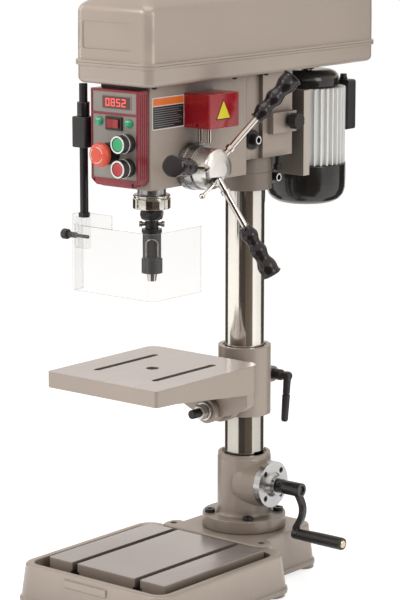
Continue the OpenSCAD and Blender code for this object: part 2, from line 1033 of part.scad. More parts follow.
// bar of radius r from point a to point b
module bar(r, a, b) {
  d = b - a;
  translate(a)
    rotate([0, acos(d[2] / norm(d)), atan2(d[1], d[0])])
      cylinder(r = r, h = norm(d));
}

module ring_lock_lever() {
  ball = [104, feed_y - 31.4, feed_z - 41.5];
  color(chrome) {
    xcyl(3, 94, 117, feed_y + lock_dy, feed_z + lock_dz);
    xcyl(5.5, 109.5, 116, feed_y + lock_dy, feed_z + lock_dz);
    bar(2.6, [112.6, feed_y + lock_dy, feed_z + lock_dz], ball);
    translate(ball)
      sphere(r = 5);
  }
}

// ---------- table ----------
module table_bush() {
  color(steel)
    difference() {
      zcyl(bush_r, arm_z + 2, arm_z + arm_h - 2);
      zcyl(col_r + run, arm_z, arm_z + arm_h);
      block([-1.5, 30, arm_z], [1.5, 45, arm_z + arm_h]);
    }
}

module table_arm() {
  color(paint)
    difference() {
      union() {
        zcyl(ring_r, arm_z, arm_z + arm_h);
        block([-ear_hw - 4, 30, arm_clamp_z - 14], [ear_hw + 4, clamp_y + 3, arm_clamp_z + 14]);
        xcyl(14, -ear_hw - 4, ear_hw + 4, clamp_y + 3, arm_clamp_z);
        block([-34, arm_front, tilt_z - 8], [34, -20, arm_z + 100]);
        ycyl(43, arm_front, -58, 0, tilt_z + 18);
        ycyl(lug_r - 2, arm_front, -30, 0, tilt_z);
      }
      zcyl(bush_r + run, arm_z - 1, arm_z + arm_h + 1);
      zcyl(ring_r + 20, arm_z - 60, arm_z);
      block([-1.5, 20, arm_z - 1], [1.5, clamp_y + 20, arm_z + arm_h + 1]);
      xcyl(6 + run, -40, 40, clamp_y + 3, arm_clamp_z);
      ycyl(8, -90, -48, 0, tilt_z);
    }
}

module arm_lever() {
  color(black) {
    xcyl(6, -ear_hw - 12, 27, clamp_y + 3, arm_clamp_z);
    xcyl(10, ear_hw + 4 + gap, 46, clamp_y + 3, arm_clamp_z);
    xcyl(8, 45, 60, clamp_y + 3, arm_clamp_z);
    translate([53, clamp_y + 3, arm_clamp_z])
      rotate([0, 184, 0]) {
        cylinder(r = 6.6, h = 34);
        translate([0, 0, 33])
          cylinder(r1 = 7, r2 = 6, h = 50);
      }
    difference() {
      translate([-ear_hw - 12 - gap, clamp_y + 3, arm_clamp_z])
        rotate([0, 90, 0])
          cylinder(r = 11, h = 8, $fn = 6);
      xcyl(6, -50, 0, clamp_y + 3, arm_clamp_z);
    }
  }
}

module table_side(w) {
  // side outline, deeper towards the column
  translate([-w / 2, 0, 0])
    rotate([90, 0, 90])
      linear_extrude(w)
        polygon([[-table_front, table_z], [-table_front, table_z - table_t],
          [-table_front + 50, table_z - table_t - 2], [-table_back, table_z - 52],
          [-table_back, table_z]]);
}

module table() {
  color(paint)
    difference() {
      union() {
        intersection() {
          table_side(table_w);
          // crisp corners at the front, rounder ones at the back
          union() {
            translate([0, -(table_front + 200) / 2, 0])
              rbox(table_w, table_front - 200, 600, 6);
            translate([0, -(300 + table_back) / 2, 0])
              rbox(table_w, 300 - table_back, 600, 20);
          }
        }
        // tilting web under the plate, with its round lug
        intersection() {
          ycyl(130, lug_front, lug_back, 0, table_z + 18);
          block([-82, lug_front - 1, 270], [82, lug_back + 1, table_z - 26]);
        }
        block([-82, -table_back - 40, table_z - 60], [82, lug_back, table_z - 27]);
        ycyl(lug_r, lug_front - 12, lug_back, 0, tilt_z);
      }
      // hollow underside
      difference() {
        intersection() {
          block([-table_w / 2 + 10, -table_front + 10, table_z - 80],
            [table_w / 2 - 10, -table_back - 10, table_z - 16]);
          translate([0, -10, -16])
            table_side(table_w);
        }
        zcyl(24, 300, 500, 0, -throat);
        for (s = [-1, 1])
          block([s * slot_x - 14, -table_front, 300], [s * slot_x + 14, -table_back, 500]);
        block([-70, -table_back - 24, 300], [70, -table_back, 500]);
      }
      zcyl(table_hole_r, 300, 500, 0, -throat);
      for (s = [-1, 1])
        translate([s * slot_x, -table_front + 137, 300])
          linear_extrude(200) {
            square([12, 148], center = true);
            translate([0, 74])
              circle(r = 6);
            translate([0, -74])
              circle(r = 6);
          }
      ycyl(8 + run, -160, -60, 0, tilt_z);
    }
}

module tilt_bolt() {
  color(black)
    ycyl(8, -146, -50, 0, tilt_z);
  color(steel)
    translate([0, -114 + gap, tilt_z])
      rotate([90, 0, 0])
        difference() {
          cylinder(r = 13.5, h = 14, $fn = 6);
          translate([0, 0, -1])
            cylinder(r = 8, h = 20);
        }
  color(steel)
    difference() {
      ycyl(16, -113.7, lug_front - 12 - gap, 0, tilt_z);
      ycyl(8, -120, -100, 0, tilt_z);
    }
}

// ---------- limit switches, label, controls ----------
module limit_box() {
  color(box_red)
    difference() {
      block([head_hw, -229, 815], [109, -153, 872]);
      block([head_hw - 1, -226, 818], [106, -156, 869]);
      zcyl(4.5, 810, 820, 74, feed_y);
      zcyl(4.5, 810, 820, 93, feed_y);
    }
}

module plunger(x) {
  color(chrome) {
    zcyl(4.1, 791, 828, x, feed_y);
    zcyl(6, 820, 824, x, feed_y);
  }
}

module plunger_a() {
  plunger(74);
}

module plunger_b() {
  plunger(93);
}

module label_plate() {
  color([0.12, 0.12, 0.13])
    block([head_hw, -309, 817], [head_hw + 0.8, -229.2, 870]);
}

module control_box() {
  color(red)
    difference() {
      translate([0, head_front, 0])
        rotate([90, 0, 0])
          linear_extrude(head_front - panel_y)
            polygon([[-box_hw, box_top], [-box_hw, box_bot + 9], [-box_hw + 12, box_bot],
              [box_hw - 12, box_bot], [box_hw, box_bot + 9], [box_hw, box_top]]);
      // open back
      block([-box_hw + 3, panel_y + 5, box_bot + 10], [box_hw - 3, head_front + 1, box_top - 3]);
      // two windows for the panels
      block([-box_hw + 3.5, panel_y - 1, box_bot + 12], [box_hw - 3.5, panel_y + 10, 841.5]);
      block([-box_hw + 3.5, panel_y - 1, 845], [box_hw - 3.5, panel_y + 10, box_top - 4]);
    }
}

module control_panel() {
  color([0.45, 0.44, 0.42])
    difference() {
      union() {
        block([-box_hw + 3.5, panel_y + 1.5, box_bot + 12], [box_hw - 3.5, panel_y + 4, 841.5]);
        block([-box_hw + 3.5, panel_y + 1.5, 845], [box_hw - 3.5, panel_y + 4, box_top - 4]);
        block([-27, panel_y + 0.5, 851], [36, panel_y + 2, 873]);
      }
      ycyl(13, panel_y - 5, panel_y + 10, start_pos[0], start_pos[1]);
      ycyl(13, panel_y - 5, panel_y + 10, stop_pos[0], stop_pos[1]);
      ycyl(13, panel_y - 5, panel_y + 10, estop_pos[0], estop_pos[1]);
      block([-14, panel_y, 819], [14, panel_y + 10, 837]);
    }
}

module pilot_lamps() {
  color([0.05, 0.55, 0.30])
    for (x = [-32, 32])
      translate([x, panel_y + 1.5, 830])
        rotate([90, 0, 0])
          rotate_extrude()
            polygon([[0, 0], [7, 0], [7, 3], [5.5, 5.5], [3, 6.8], [0, 7.2]]);
}

module switch_bezels() {
  color(black) {
    for (p = [start_pos, stop_pos])
      difference() {
        union() {
          ycyl(15, panel_y - 25, panel_y + 1.5, p[0], p[1]);
          ycyl(13, panel_y, panel_y + 8, p[0], p[1]);
        }
        ycyl(11.4, panel_y - 26, panel_y - 8, p[0], p[1]);
      }
    difference() {
      union() {
        ycyl(18, panel_y - 14, panel_y + 1.5, estop_pos[0], estop_pos[1]);
        ycyl(13, panel_y, panel_y + 8, estop_pos[0], estop_pos[1]);
      }
      ycyl(12.4, panel_y - 26, panel_y - 2, estop_pos[0], estop_pos[1]);
    }
    difference() {
      block([-17.5, panel_y - 1.5, 817], [17.5, panel_y + 1.5, 839]);
      block([-12.6, panel_y - 5, 820.6], [12.6, panel_y + 5, 835.4]);
    }
  }
}

module rocker() {
  color(box_red)
    translate([0, panel_y, 821])
      linear_extrude(14)
        polygon([[-12, -1], [-12, -4.5], [0, -2.6], [12, -4.5], [12, -1], [5, 3.5], [-5, 3.5]]);
}

module push_button(p, c) {
  color(c)
    ycyl(11, panel_y - 26, panel_y - 14, p[0], p[1]);
}

module start_button() {
  push_button(start_pos, [0.10, 0.60, 0.30]);
}

module stop_button() {
  push_button(stop_pos, box_red);
}

module estop_button() {
  color(box_red)
    translate([estop_pos[0], panel_y, estop_pos[1]])
      rotate([90, 0, 0])
        rotate_extrude()
          polygon([[0, 9], [12, 9], [12, 20], [19, 20], [20, 22], [20, 29], [17.5, 33],
            [12, 35], [0, 35.6]]);
}

// ---------- guard ----------
module guard_switch() {
  color([0.25, 0.25, 0.26])
    difference() {
      union() {
        block([post_x - 15, post_y - 13, 783], [post_x + 15, post_y + 13, 834]);
        zcyl(10.5, 834, 858, post_x, post_y);
        block([post_x + 10, post_y + 4, 790], [-box_hw, post_y + 13, 828]);
      }
      zcyl(post_r + run, 780, 860, post_x, post_y);
    }
}

module guard_post() {
  color(black) {
    zcyl(post_r, 668, 888, post_x, post_y);
    translate([post_x, post_y, 666.5])
      cylinder(r = 10, h = 8, $fn = 6);
    difference() {
      block([-guard_hw_l + 3 + gap, post_y - 6, 614], [post_x + 9, post_y + 6, 667]);
      xcyl(3 + run, -100, -60, post_y, guard_knob_z);
    }
  }
}

module guard_shield() {
  color(clear)
    difference() {
      union() {
        block([-guard_hw_l + 3, guard_y, guard_bot], [guard_hw_r - 12, guard_y + 3, guard_top]);
        // rounded front corner
        intersection() {
          difference() {
            zcyl(14, guard_bot, guard_top, guard_hw_r - 14, guard_y + 14);
            zcyl(11, guard_bot - 1, guard_top + 1, guard_hw_r - 14, guard_y + 14);
          }
          block([guard_hw_r - 14, guard_y - 1, guard_bot], [guard_hw_r + 1, guard_y + 14, guard_top]);
        }
        block([guard_hw_r - 3, guard_y + 13, guard_bot], [guard_hw_r, guard_back, guard_top]);
        block([-guard_hw_l, guard_y, guard_bot], [-guard_hw_l + 3, post_y + 14, guard_top + 18]);
        // stiffening tab across the top
        block([-guard_hw_l, post_y + 11.5, guard_top - 6], [-22, post_y + 14, guard_top + 18]);
      }
      // height slot
      translate([0, post_y, 0])
        rotate([90, 0, 90])
          translate([0, 0, -100])
            linear_extrude(20) {
              translate([0, guard_knob_z])
                square([6.8, 34], center = true);
              translate([0, guard_knob_z + 17])
                circle(r = 3.4);
              translate([0, guard_knob_z - 17])
                circle(r = 3.4);
            }
    }
}

module guard_knob() {
  color(black) {
    xcyl(3, -109, -64, post_y, guard_knob_z);
    xcyl(5, -109, -guard_hw_l - gap, post_y, guard_knob_z);
    difference() {
      xcyl(9, -120, -108, post_y, guard_knob_z);
      for (i = [0:5])
        translate([0, post_y, guard_knob_z])
          rotate([i * 60, 0, 0])
            xcyl(1.5, -121, -107, 9.5, 0);
    }
  }
}

base();
column_seat();
seat_screws();
crank_flange();
crank_shaft();
crank_arm();
crank_grip();
lift_screw();
column();
lift_nut();
lock_collar();
lock_collar_bolt();
head_casting();
head_clamp_bolts();
cover_pan();
lid_hinge();
limit_box();
label_plate();
control_box();
control_panel();
pilot_lamps();
switch_bezels();
guard_switch();
spring_cap();
v_belt();
motor_plate();
motor_body();
motor_covers();
terminal_box();
motor_shaft();
motor_pulley();
tension_knob();
cover_lid();
spindle_pulley();
quill();
quill_collar();
spindle();
spindle_nut();
chuck_body();
chuck_jaws();
feed_shaft();
feed_hub();
feed_rods();
feed_grips();
depth_ring();
ring_lock_lever();
table_bush();
table_arm();
arm_lever();
table();
tilt_bolt();
guard_post();
guard_shield();
guard_knob();
rocker();
start_button();
stop_button();
estop_button();
plunger_a();
plunger_b();
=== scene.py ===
from math import copysign, cos, pi, radians, sin, sqrt

import bmesh
import bpy
from mathutils import Matrix, Vector


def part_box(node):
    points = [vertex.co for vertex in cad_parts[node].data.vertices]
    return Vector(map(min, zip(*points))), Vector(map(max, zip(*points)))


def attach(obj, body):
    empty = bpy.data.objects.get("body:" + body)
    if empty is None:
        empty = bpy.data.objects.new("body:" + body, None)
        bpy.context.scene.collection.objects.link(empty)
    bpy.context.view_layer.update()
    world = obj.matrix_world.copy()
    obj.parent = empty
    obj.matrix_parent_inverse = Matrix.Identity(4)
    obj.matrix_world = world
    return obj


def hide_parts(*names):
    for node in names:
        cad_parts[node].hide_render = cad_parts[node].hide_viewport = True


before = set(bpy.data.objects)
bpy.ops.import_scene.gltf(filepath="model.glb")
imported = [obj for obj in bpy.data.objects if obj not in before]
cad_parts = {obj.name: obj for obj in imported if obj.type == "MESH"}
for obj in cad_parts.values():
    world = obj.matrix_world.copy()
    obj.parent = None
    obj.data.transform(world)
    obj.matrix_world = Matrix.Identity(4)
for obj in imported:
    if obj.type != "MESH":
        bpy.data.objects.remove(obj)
scene = bpy.context.scene
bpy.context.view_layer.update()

# ---- places shared by several pieces (mm)
COLUMN_BORE = 35.04
CRANK_Z = 163.0
SPINDLE_Y = -248.0
FEED_Y, FEED_Z = -211.0, 749.0
GUARD_X, GUARD_Y = -72.0, -335.0
GUARD_KNOB_Z = 634.0

# ---- camera
cam_data = bpy.data.cameras.new("camera")
cam_data.lens = 146.6
cam_data.sensor_fit = "AUTO"
cam_data.sensor_width = 36.0
cam_data.clip_end = 50.0
camera = bpy.data.objects.new("camera", cam_data)
camera.location = (2.620, -3.283, 1.307)
camera.rotation_euler = (radians(78.93), 0.0, radians(39.66))
scene.collection.objects.link(camera)
scene.camera = camera


def box(node):
    """A node's box at rest, in millimetres: (x0, y0, z0, x1, y1, z1)."""
    a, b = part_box(node)
    return tuple(v * 1000.0 for v in a) + tuple(v * 1000.0 for v in b)


# ---- materials
class Nodes:
    """Builds one procedural material on a Principled shader."""

    def __init__(self, name, rough, metal=0.0, **sockets):
        self.mat = bpy.data.materials.new(name)
        self.mat.use_nodes = True
        self.t = self.mat.node_tree
        self.b = self.t.nodes["Principled BSDF"]
        self.b.inputs["Roughness"].default_value = rough
        self.b.inputs["Metallic"].default_value = metal
        for key, value in sockets.items():
            self.b.inputs[key.replace("_", " ")].default_value = value
        self.co = self.t.nodes.new("ShaderNodeTexCoord")

    def node(self, kind, **props):
        n = self.t.nodes.new(kind)
        for k, v in props.items():
            setattr(n, k, v)
        return n

    def link(self, a, b):
        self.t.links.new(a, b)

    def coords(self, scale=(1, 1, 1)):
        m = self.node("ShaderNodeMapping")
        m.inputs["Scale"].default_value = scale
        self.link(self.co.outputs["Object"], m.inputs["Vector"])
        return m.outputs["Vector"]

    def noise(self, scale, detail=4.0, rough=0.55, stretch=(1, 1, 1)):
        n = self.node("ShaderNodeTexNoise")
        n.inputs["Scale"].default_value = scale
        n.inputs["Detail"].default_value = detail
        n.inputs["Roughness"].default_value = rough
        self.link(self.coords(stretch), n.inputs["Vector"])
        return n.outputs["Fac"]

    def span(self, value, a0, a1, b0, b1):
        n = self.node("ShaderNodeMapRange")
        for key, v in (("From Min", a0), ("From Max", a1), ("To Min", b0), ("To Max", b1)):
            n.inputs[key].default_value = v
        self.link(value, n.inputs["Value"])
        return n.outputs["Result"]

    def mix(self, fac, a, b):
        n = self.node("ShaderNodeMix", data_type="RGBA")
        if isinstance(fac, float):
            n.inputs["Factor"].default_value = fac
        else:
            self.link(fac, n.inputs["Factor"])
        for value, socket in ((a, n.inputs[6]), (b, n.inputs[7])):
            if isinstance(value, tuple):
                socket.default_value = (*value, 1.0)
            else:
                self.link(value, socket)
        return n.outputs[2]

    def colour(self, out):
        self.link(out, self.b.inputs["Base Color"])

    def rough(self, out):
        self.link(out, self.b.inputs["Roughness"])

    def bump(self, height, strength=0.2, distance=0.0005, edge=0.0):
        n = self.node("ShaderNodeBump")
        n.inputs["Strength"].default_value = strength
        n.inputs["Distance"].default_value = distance
        self.link(height, n.inputs["Height"])
        if edge:
            e = self.node("ShaderNodeBevel", samples=4)
            e.inputs["Radius"].default_value = edge
            self.link(e.outputs["Normal"], n.inputs["Normal"])
        self.link(n.outputs["Normal"], self.b.inputs["Normal"])

    def edges(self, radius):
        """1 along convex and concave edges, 0 on open faces."""
        g = self.node("ShaderNodeNewGeometry")
        e = self.node("ShaderNodeBevel", samples=4)
        e.inputs["Radius"].default_value = radius
        d = self.node("ShaderNodeVectorMath", operation="DOT_PRODUCT")
        self.link(g.outputs["Normal"], d.inputs[0])
        self.link(e.outputs["Normal"], d.inputs[1])
        return self.span(d.outputs["Value"], 0.985, 0.86, 0.0, 1.0)

    def painted_shade(self, colour, distance, depth):
        """Painted shade: darkens a colour by ambient occlusion in corners, slots and holes."""
        a = self.node("ShaderNodeAmbientOcclusion", samples=6)
        a.inputs["Distance"].default_value = distance
        k = self.span(a.outputs["AO"], 0.15, 0.75, depth, 0.0)
        return self.mix(k, colour, (0.03, 0.022, 0.016))

    def painted_low_shade(self, colour, z0, z1, r1, depth):
        """Painted shade: darkens a colour below z0 and within r1 of the column's axis (m)."""
        p = self.node("ShaderNodeSeparateXYZ")
        self.link(self.co.outputs["Object"], p.inputs[0])
        x, y, z = (p.outputs[k] for k in "XYZ")
        r = self.math("SQRT", self.math("ADD", self.math("MULTIPLY", x, x), self.math("MULTIPLY", y, y)),
                      0.0)
        low = self.span(z, z0, z1, depth, 0.0)
        near = self.span(r, r1, r1 + 0.02, 1.0, 0.0)
        return self.mix(self.math("MULTIPLY", low, near), colour, (0.05, 0.038, 0.028))

    def painted_front_shade(self, colour, depth):
        """Painted shade: darkens the faces that look to the front."""
        n = self.node("ShaderNodeSeparateXYZ")
        self.link(self.co.outputs["Normal"], n.inputs[0])
        return self.mix(self.span(n.outputs["Y"], -0.99, -0.8, depth, 0.0), colour, (0.05, 0.038, 0.028))

    def math(self, operation, a, b):
        """A maths operation on two sockets or plain numbers."""
        n = self.node("ShaderNodeMath", operation=operation)
        for value, socket in ((a, n.inputs[0]), (b, n.inputs[1])):
            if isinstance(value, float):
                socket.default_value = value
            else:
                self.link(value, socket)
        return n.outputs[0]


def tone(c, k):
    return tuple(min(1.0, v * k) for v in c)


def surface(name, c, rough, metal=0.0, var=0.06, rough_var=0.08, scale=14.0, grain=900.0, strength=0.12,
            distance=0.0003, edge=0.0, stretch=(1, 1, 1), wear=None, painted_shade=0.0, painted_low_shade=None, painted_front_shade=0.0,
            **sockets):
    """Colour with soft blotches, fine grain in the surface, worn edges, and painted shade in hollows, low
    down and on front faces.

    var and rough_var say how far colour and gloss wander, scale and grain how many blotches and grains
    there are in a metre; strength, distance and edge belong to the bump.
    """
    m = Nodes(name, rough, metal, **sockets)
    blotch = m.noise(scale, 5.0)
    col = m.mix(m.span(blotch, 0.3, 0.7, 0.0, 1.0), tone(c, 1 - var), tone(c, 1 + var))
    if wear is not None:
        worn = m.span(m.noise(60.0, 6.0), 0.48, 0.66, 0.0, 0.55)
        col = m.mix(m.math("MULTIPLY", m.edges(0.0010), worn), col, wear)
    # painted shade: ambient occlusion in hollows (0.02 m) and under overhangs (0.14 m), then darker low
    # down, then darker front faces
    if painted_shade:
        col = m.painted_shade(m.painted_shade(col, 0.02, painted_shade * 0.6), 0.14, painted_shade)
    if painted_low_shade:
        col = m.painted_low_shade(col, *painted_low_shade)
    if painted_front_shade:
        col = m.painted_front_shade(col, painted_front_shade)
    m.colour(col)
    m.rough(m.span(m.noise(scale * 2.3, 6.0, 0.6), 0.25, 0.75, max(0.02, rough - rough_var),
                   rough + rough_var))
    m.bump(m.noise(grain, 3.0, 0.5, stretch), strength, distance, edge)
    return m.mat


PAINT = (0.42, 0.35, 0.298)
WORN = (0.56, 0.50, 0.45)


def cast_paint(name, k=1.0, painted_shade=0.62, painted_low_shade=None):
    """Enamel on the castings; k darkens it for painted shade, the last argument (z0, z1, r1, depth) paints
    shade low down near the column.
    """
    return surface(name, tone(PAINT, k), 0.36, 0.12, 0.05, 0.07, 9.0, 420.0, 0.16, 0.0005, 0.0018,
                   wear=WORN, painted_shade=painted_shade, painted_low_shade=painted_low_shade, Coat_Weight=0.25, Coat_Roughness=0.22)


def printed(name, c, rough, var):
    """Smooth print on a label."""
    return surface(name, c, rough, 0.0, var, 0.06, 20.0, 900.0, 0.05, 0.0001)


# castings and most metals below carry painted shade in hollows and under overhangs
m_cast = cast_paint("cast_paint")
# darker copy of the casting paint: painted shade under the lid and low on the head's ring and lock collar
m_head = cast_paint("head_paint", 0.92, 0.85, (0.740, 0.754, 0.060, 0.52))
# painted shade low on the seat and its flange, below 128 mm
m_seat = cast_paint("seat_paint", painted_low_shade=(0.104, 0.128, 1.0, 0.16))
# painted shade on the tray's walls and moat, below 70 mm
m_tray = cast_paint("tray_paint", painted_low_shade=(0.012, 0.070, 1.0, 0.24))
m_sheet = surface("sheet_paint", tone(PAINT, 1.03), 0.32, 0.12, 0.03, 0.05, 6.0, 700.0, 0.08, 0.0003,
                  wear=WORN, painted_shade=0.35, Coat_Weight=0.3, Coat_Roughness=0.18)
m_chrome = surface("polished_chrome", (0.72, 0.69, 0.64), 0.07, 1.0, 0.03, 0.03, 20.0, 260.0, 0.03,
                   0.0002, 0.0006, (1, 1, 14), painted_shade=0.5)
# painted shade on the column below 345 mm
m_column = surface("column_chrome", (0.74, 0.71, 0.65), 0.11, 1.0, 0.03, 0.03, 20.0, 260.0, 0.03, 0.0002,
                   0.0006, (1, 1, 14), painted_shade=0.5, painted_low_shade=(0.30, 0.345, 1.0, 0.38))
m_hub = surface("polished_steel", (0.74, 0.725, 0.70), 0.30, 0.9, 0.05, 0.05, 30.0, 500.0, 0.06, 0.0002,
                0.0008, (14, 1, 1), painted_shade=0.5)
m_steel = surface("ground_steel", (0.52, 0.52, 0.52), 0.26, 1.0, 0.07, 0.08, 25.0, 700.0, 0.08, 0.0002,
                  0.0006, (1, 1, 10), painted_shade=0.5)
m_black = surface("black_oxide", (0.014, 0.013, 0.013), 0.36, 0.15, 0.25, 0.1, 40.0, 900.0, 0.12, 0.0002,
                  0.0007, wear=(0.10, 0.10, 0.10))
m_blackpaint = surface("black_enamel", (0.012, 0.011, 0.011), 0.20, 0.0, 0.2, 0.05, 20.0, 500.0, 0.1,
                       0.0003, 0.0008, Coat_Weight=0.3)
m_plastic = surface("black_plastic", (0.016, 0.014, 0.015), 0.42, 0.0, 0.2, 0.1, 30.0, 1500.0, 0.14,
                    0.0002, 0.0006)
m_grip = surface("grip_plastic", (0.013, 0.008, 0.010), 0.24, 0.0, 0.2, 0.05, 30.0, 900.0, 0.06, 0.0002)
m_rubber = surface("rubber", (0.02, 0.02, 0.02), 0.75, 0.0, 0.2, 0.1, 60.0, 1200.0, 0.3, 0.0003)
m_alloy = surface("cast_alloy", (0.60, 0.61, 0.61), 0.38, 0.85, 0.06, 0.1, 40.0, 800.0, 0.18, 0.0004,
                  0.0004)
m_fins = surface("silver_paint", (0.93, 0.93, 0.91), 0.34, 0.0, 0.03, 0.08, 20.0, 700.0, 0.12, 0.0003,
                 0.0005, painted_shade=0.15)
m_bronze = surface("bronze", (0.60, 0.42, 0.17), 0.3, 1.0, 0.08, 0.1, 30.0, 700.0, 0.1, 0.0002, 0.0005)
m_brass = surface("brass_screw", (0.68, 0.58, 0.40), 0.22, 1.0, 0.06, 0.08, 50.0, 700.0, 0.08, 0.0002)
m_darkred = surface("dark_red_enamel", (0.25, 0.018, 0.030), 0.28, 0.1, 0.08, 0.07, 12.0, 800.0, 0.07,
                    0.0003, wear=(0.36, 0.05, 0.06), Coat_Weight=0.35, Coat_Roughness=0.15)
m_red = surface("bright_red", (0.34, 0.006, 0.014), 0.26, 0.0, 0.02, 0.06, 20.0, 900.0, 0.06, 0.0002,
                Coat_Weight=0.4, Coat_Roughness=0.12)
m_button_red = surface("button_red", (0.76, 0.105, 0.06), 0.30, 0.0, 0.05, 0.06, 30.0, 900.0, 0.06, 0.0002)
m_stop_red = surface("stop_red", (0.50, 0.050, 0.055), 0.28, 0.0, 0.04, 0.06, 30.0, 900.0, 0.06, 0.0002)
m_button_green = surface("button_green", (0.045, 0.42, 0.17), 0.32, 0.0, 0.05, 0.06, 30.0, 900.0, 0.06,
                         0.0002)
m_lens = surface("green_lens", (0.02, 0.33, 0.16), 0.12, 0.0, 0.08, 0.04, 60.0, 700.0, 0.05, 0.0002,
                 Coat_Weight=0.6, Emission_Color=(0.02, 0.5, 0.2, 1), Emission_Strength=0.08)
m_panel = surface("panel_grey", (0.30, 0.275, 0.25), 0.42, 0.2, 0.05, 0.08, 30.0, 1600.0, 0.1, 0.0002)
m_silver = surface("silver_trim", (0.80, 0.80, 0.79), 0.22, 0.7, 0.04, 0.06, 50.0, 900.0, 0.06, 0.0002)
m_white = printed("label_white", (0.72, 0.71, 0.68), 0.4, 0.03)
m_orange = printed("label_orange", (0.80, 0.18, 0.03), 0.38, 0.04)
m_ink = printed("label_black", (0.012, 0.012, 0.013), 0.35, 0.15)
m_rule = printed("label_rule", (0.26, 0.26, 0.26), 0.4, 0.05)
m_yellow = printed("label_yellow", (0.80, 0.66, 0.03), 0.35, 0.04)
# painted shade on the motor plate's front faces and in its hollows
m_cream = surface("cream_paint", (0.54, 0.485, 0.425), 0.36, 0.05, 0.04, 0.07, 9.0, 500.0, 0.12, 0.0004,
                  0.0015, wear=WORN, painted_shade=0.5, painted_front_shade=0.72)
m_digit = surface("lit_digit", (0.75, 0.08, 0.06), 0.4, 0.0, 0.02, 0.05, 30.0, 900.0, 0.02, 0.0001,
                  Emission_Color=(1.0, 0.10, 0.07, 1), Emission_Strength=1.6)
m_window = surface("display_window", (0.10, 0.035, 0.035), 0.15, 0.0, 0.1, 0.05, 30.0, 900.0, 0.03,
                   0.0001, Coat_Weight=0.5)


def clear_sheet():
    """Thin clear plastic: nearly invisible face on, milky along its cut edges."""
    m = Nodes("clear_sheet", 0.12, 0.0)
    blotch = m.span(m.noise(12.0, 4.0), 0.3, 0.7, 0.0, 1.0)
    m.colour(m.mix(blotch, (0.33, 0.32, 0.315), (0.39, 0.38, 0.375)))
    m.rough(m.span(m.noise(40.0, 5.0), 0.3, 0.7, 0.08, 0.2))
    m.bump(m.noise(90.0, 3.0), 0.03, 0.0002)
    scuffs = m.span(m.noise(160.0, 4.0, 0.6, (1, 1, 0.1)), 0.58, 0.78, 0.0, 0.03)
    g = m.node("ShaderNodeLayerWeight")
    g.inputs["Blend"].default_value = 0.25
    rim = m.span(g.outputs["Facing"], 0.4, 1.0, 0.075, 0.4)
    cut = m.math("MULTIPLY", m.edges(0.0016), 0.5)
    m.link(m.math("MINIMUM", m.math("ADD", m.math("ADD", rim, scuffs), cut), 0.85), m.b.inputs["Alpha"])
    return m.mat


m_clear = clear_sheet()


def two_faced(name, top_z, paint, k=1.0):
    """Paint below, ground metal on upward faces at or above top_z (mm)."""
    m = Nodes(name, 0.3, 0.0, Coat_Weight=0.1, Coat_Roughness=0.2)
    n = m.node("ShaderNodeSeparateXYZ")
    m.link(m.co.outputs["Normal"], n.inputs[0])
    p = m.node("ShaderNodeSeparateXYZ")
    m.link(m.co.outputs["Object"], p.inputs[0])
    up = m.span(n.outputs["Z"], 0.95, 0.99, 0.0, 1.0)
    high = m.span(p.outputs["Z"], (top_z - 0.6) / 1000, (top_z - 0.2) / 1000, 0.0, 1.0)
    fac = m.math("MULTIPLY", up, high)
    blotch = m.span(m.noise(7.0, 5.0), 0.3, 0.7, 0.0, 1.0)
    metal_c = m.mix(blotch, tone((0.53, 0.477, 0.478), k), tone((0.60, 0.545, 0.545), k))
    scratch = m.span(m.noise(240.0, 3.0, 0.6, (1, 0.03, 1)), 0.35, 0.65, 0.0, 1.0)
    metal_c = m.mix(m.span(scratch, 0.0, 1.0, 0.0, 0.22), metal_c, (0.48, 0.44, 0.44))
    paint_c = m.mix(blotch, tone(paint, 0.96), tone(paint, 1.05))
    # painted shade from ambient occlusion in slots and under overhangs
    m.colour(m.painted_shade(m.painted_shade(m.mix(fac, paint_c, metal_c), 0.03, 0.7), 0.12, 0.45))
    m.link(m.span(fac, 0.0, 1.0, 0.12, 0.55), m.b.inputs["Metallic"])
    m.rough(m.span(fac, 0.0, 1.0, 0.36, 0.25))
    m.bump(m.noise(420.0, 3.0, 0.5), 0.12, 0.0003, 0.0018)
    return m.mat


# ---- mesh helpers
def finish_mesh(bm, name, body=None, mat=None, angle=32.0):
    """Turns bm into an object with hard edges above the angle; without a body it stays a loose tool."""
    bmesh.ops.remove_doubles(bm, verts=bm.verts, dist=1e-6)
    bmesh.ops.recalc_face_normals(bm, faces=bm.faces)
    for f in bm.faces:
        f.smooth = True
    for e in bm.edges:
        if len(e.link_faces) == 2 and e.calc_face_angle(0.0) > radians(angle):
            e.smooth = False
    me = bpy.data.meshes.new(name)
    bm.to_mesh(me)
    bm.free()
    o = bpy.data.objects.new(name, me)
    scene.collection.objects.link(o)
    if mat:
        me.materials.append(mat)
    if body:
        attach(o, body)
    return o


def circle(r, n):
    """n points (u, v) round a circle."""
    return [(r * cos(2 * pi * i / n), r * sin(2 * pi * i / n)) for i in range(n)]


def skin(bm, rings, cap0=True, cap1=True, loop=False):
    """Joins rings of points (mm) with faces and closes both ends."""
    vs = [[bm.verts.new(Vector(p) / 1000) for p in r] for r in rings]
    n = len(rings[0])
    pairs = list(zip(vs, vs[1:])) + ([(vs[-1], vs[0])] if loop else [])
    for a, b in pairs:
        for i in range(n):
            j = (i + 1) % n
            bm.faces.new((a[i], a[j], b[j], b[i]))
    if cap0 and not loop:
        bm.faces.new(list(reversed(vs[0])))
    if cap1 and not loop:
        bm.faces.new(vs[-1])
    return vs


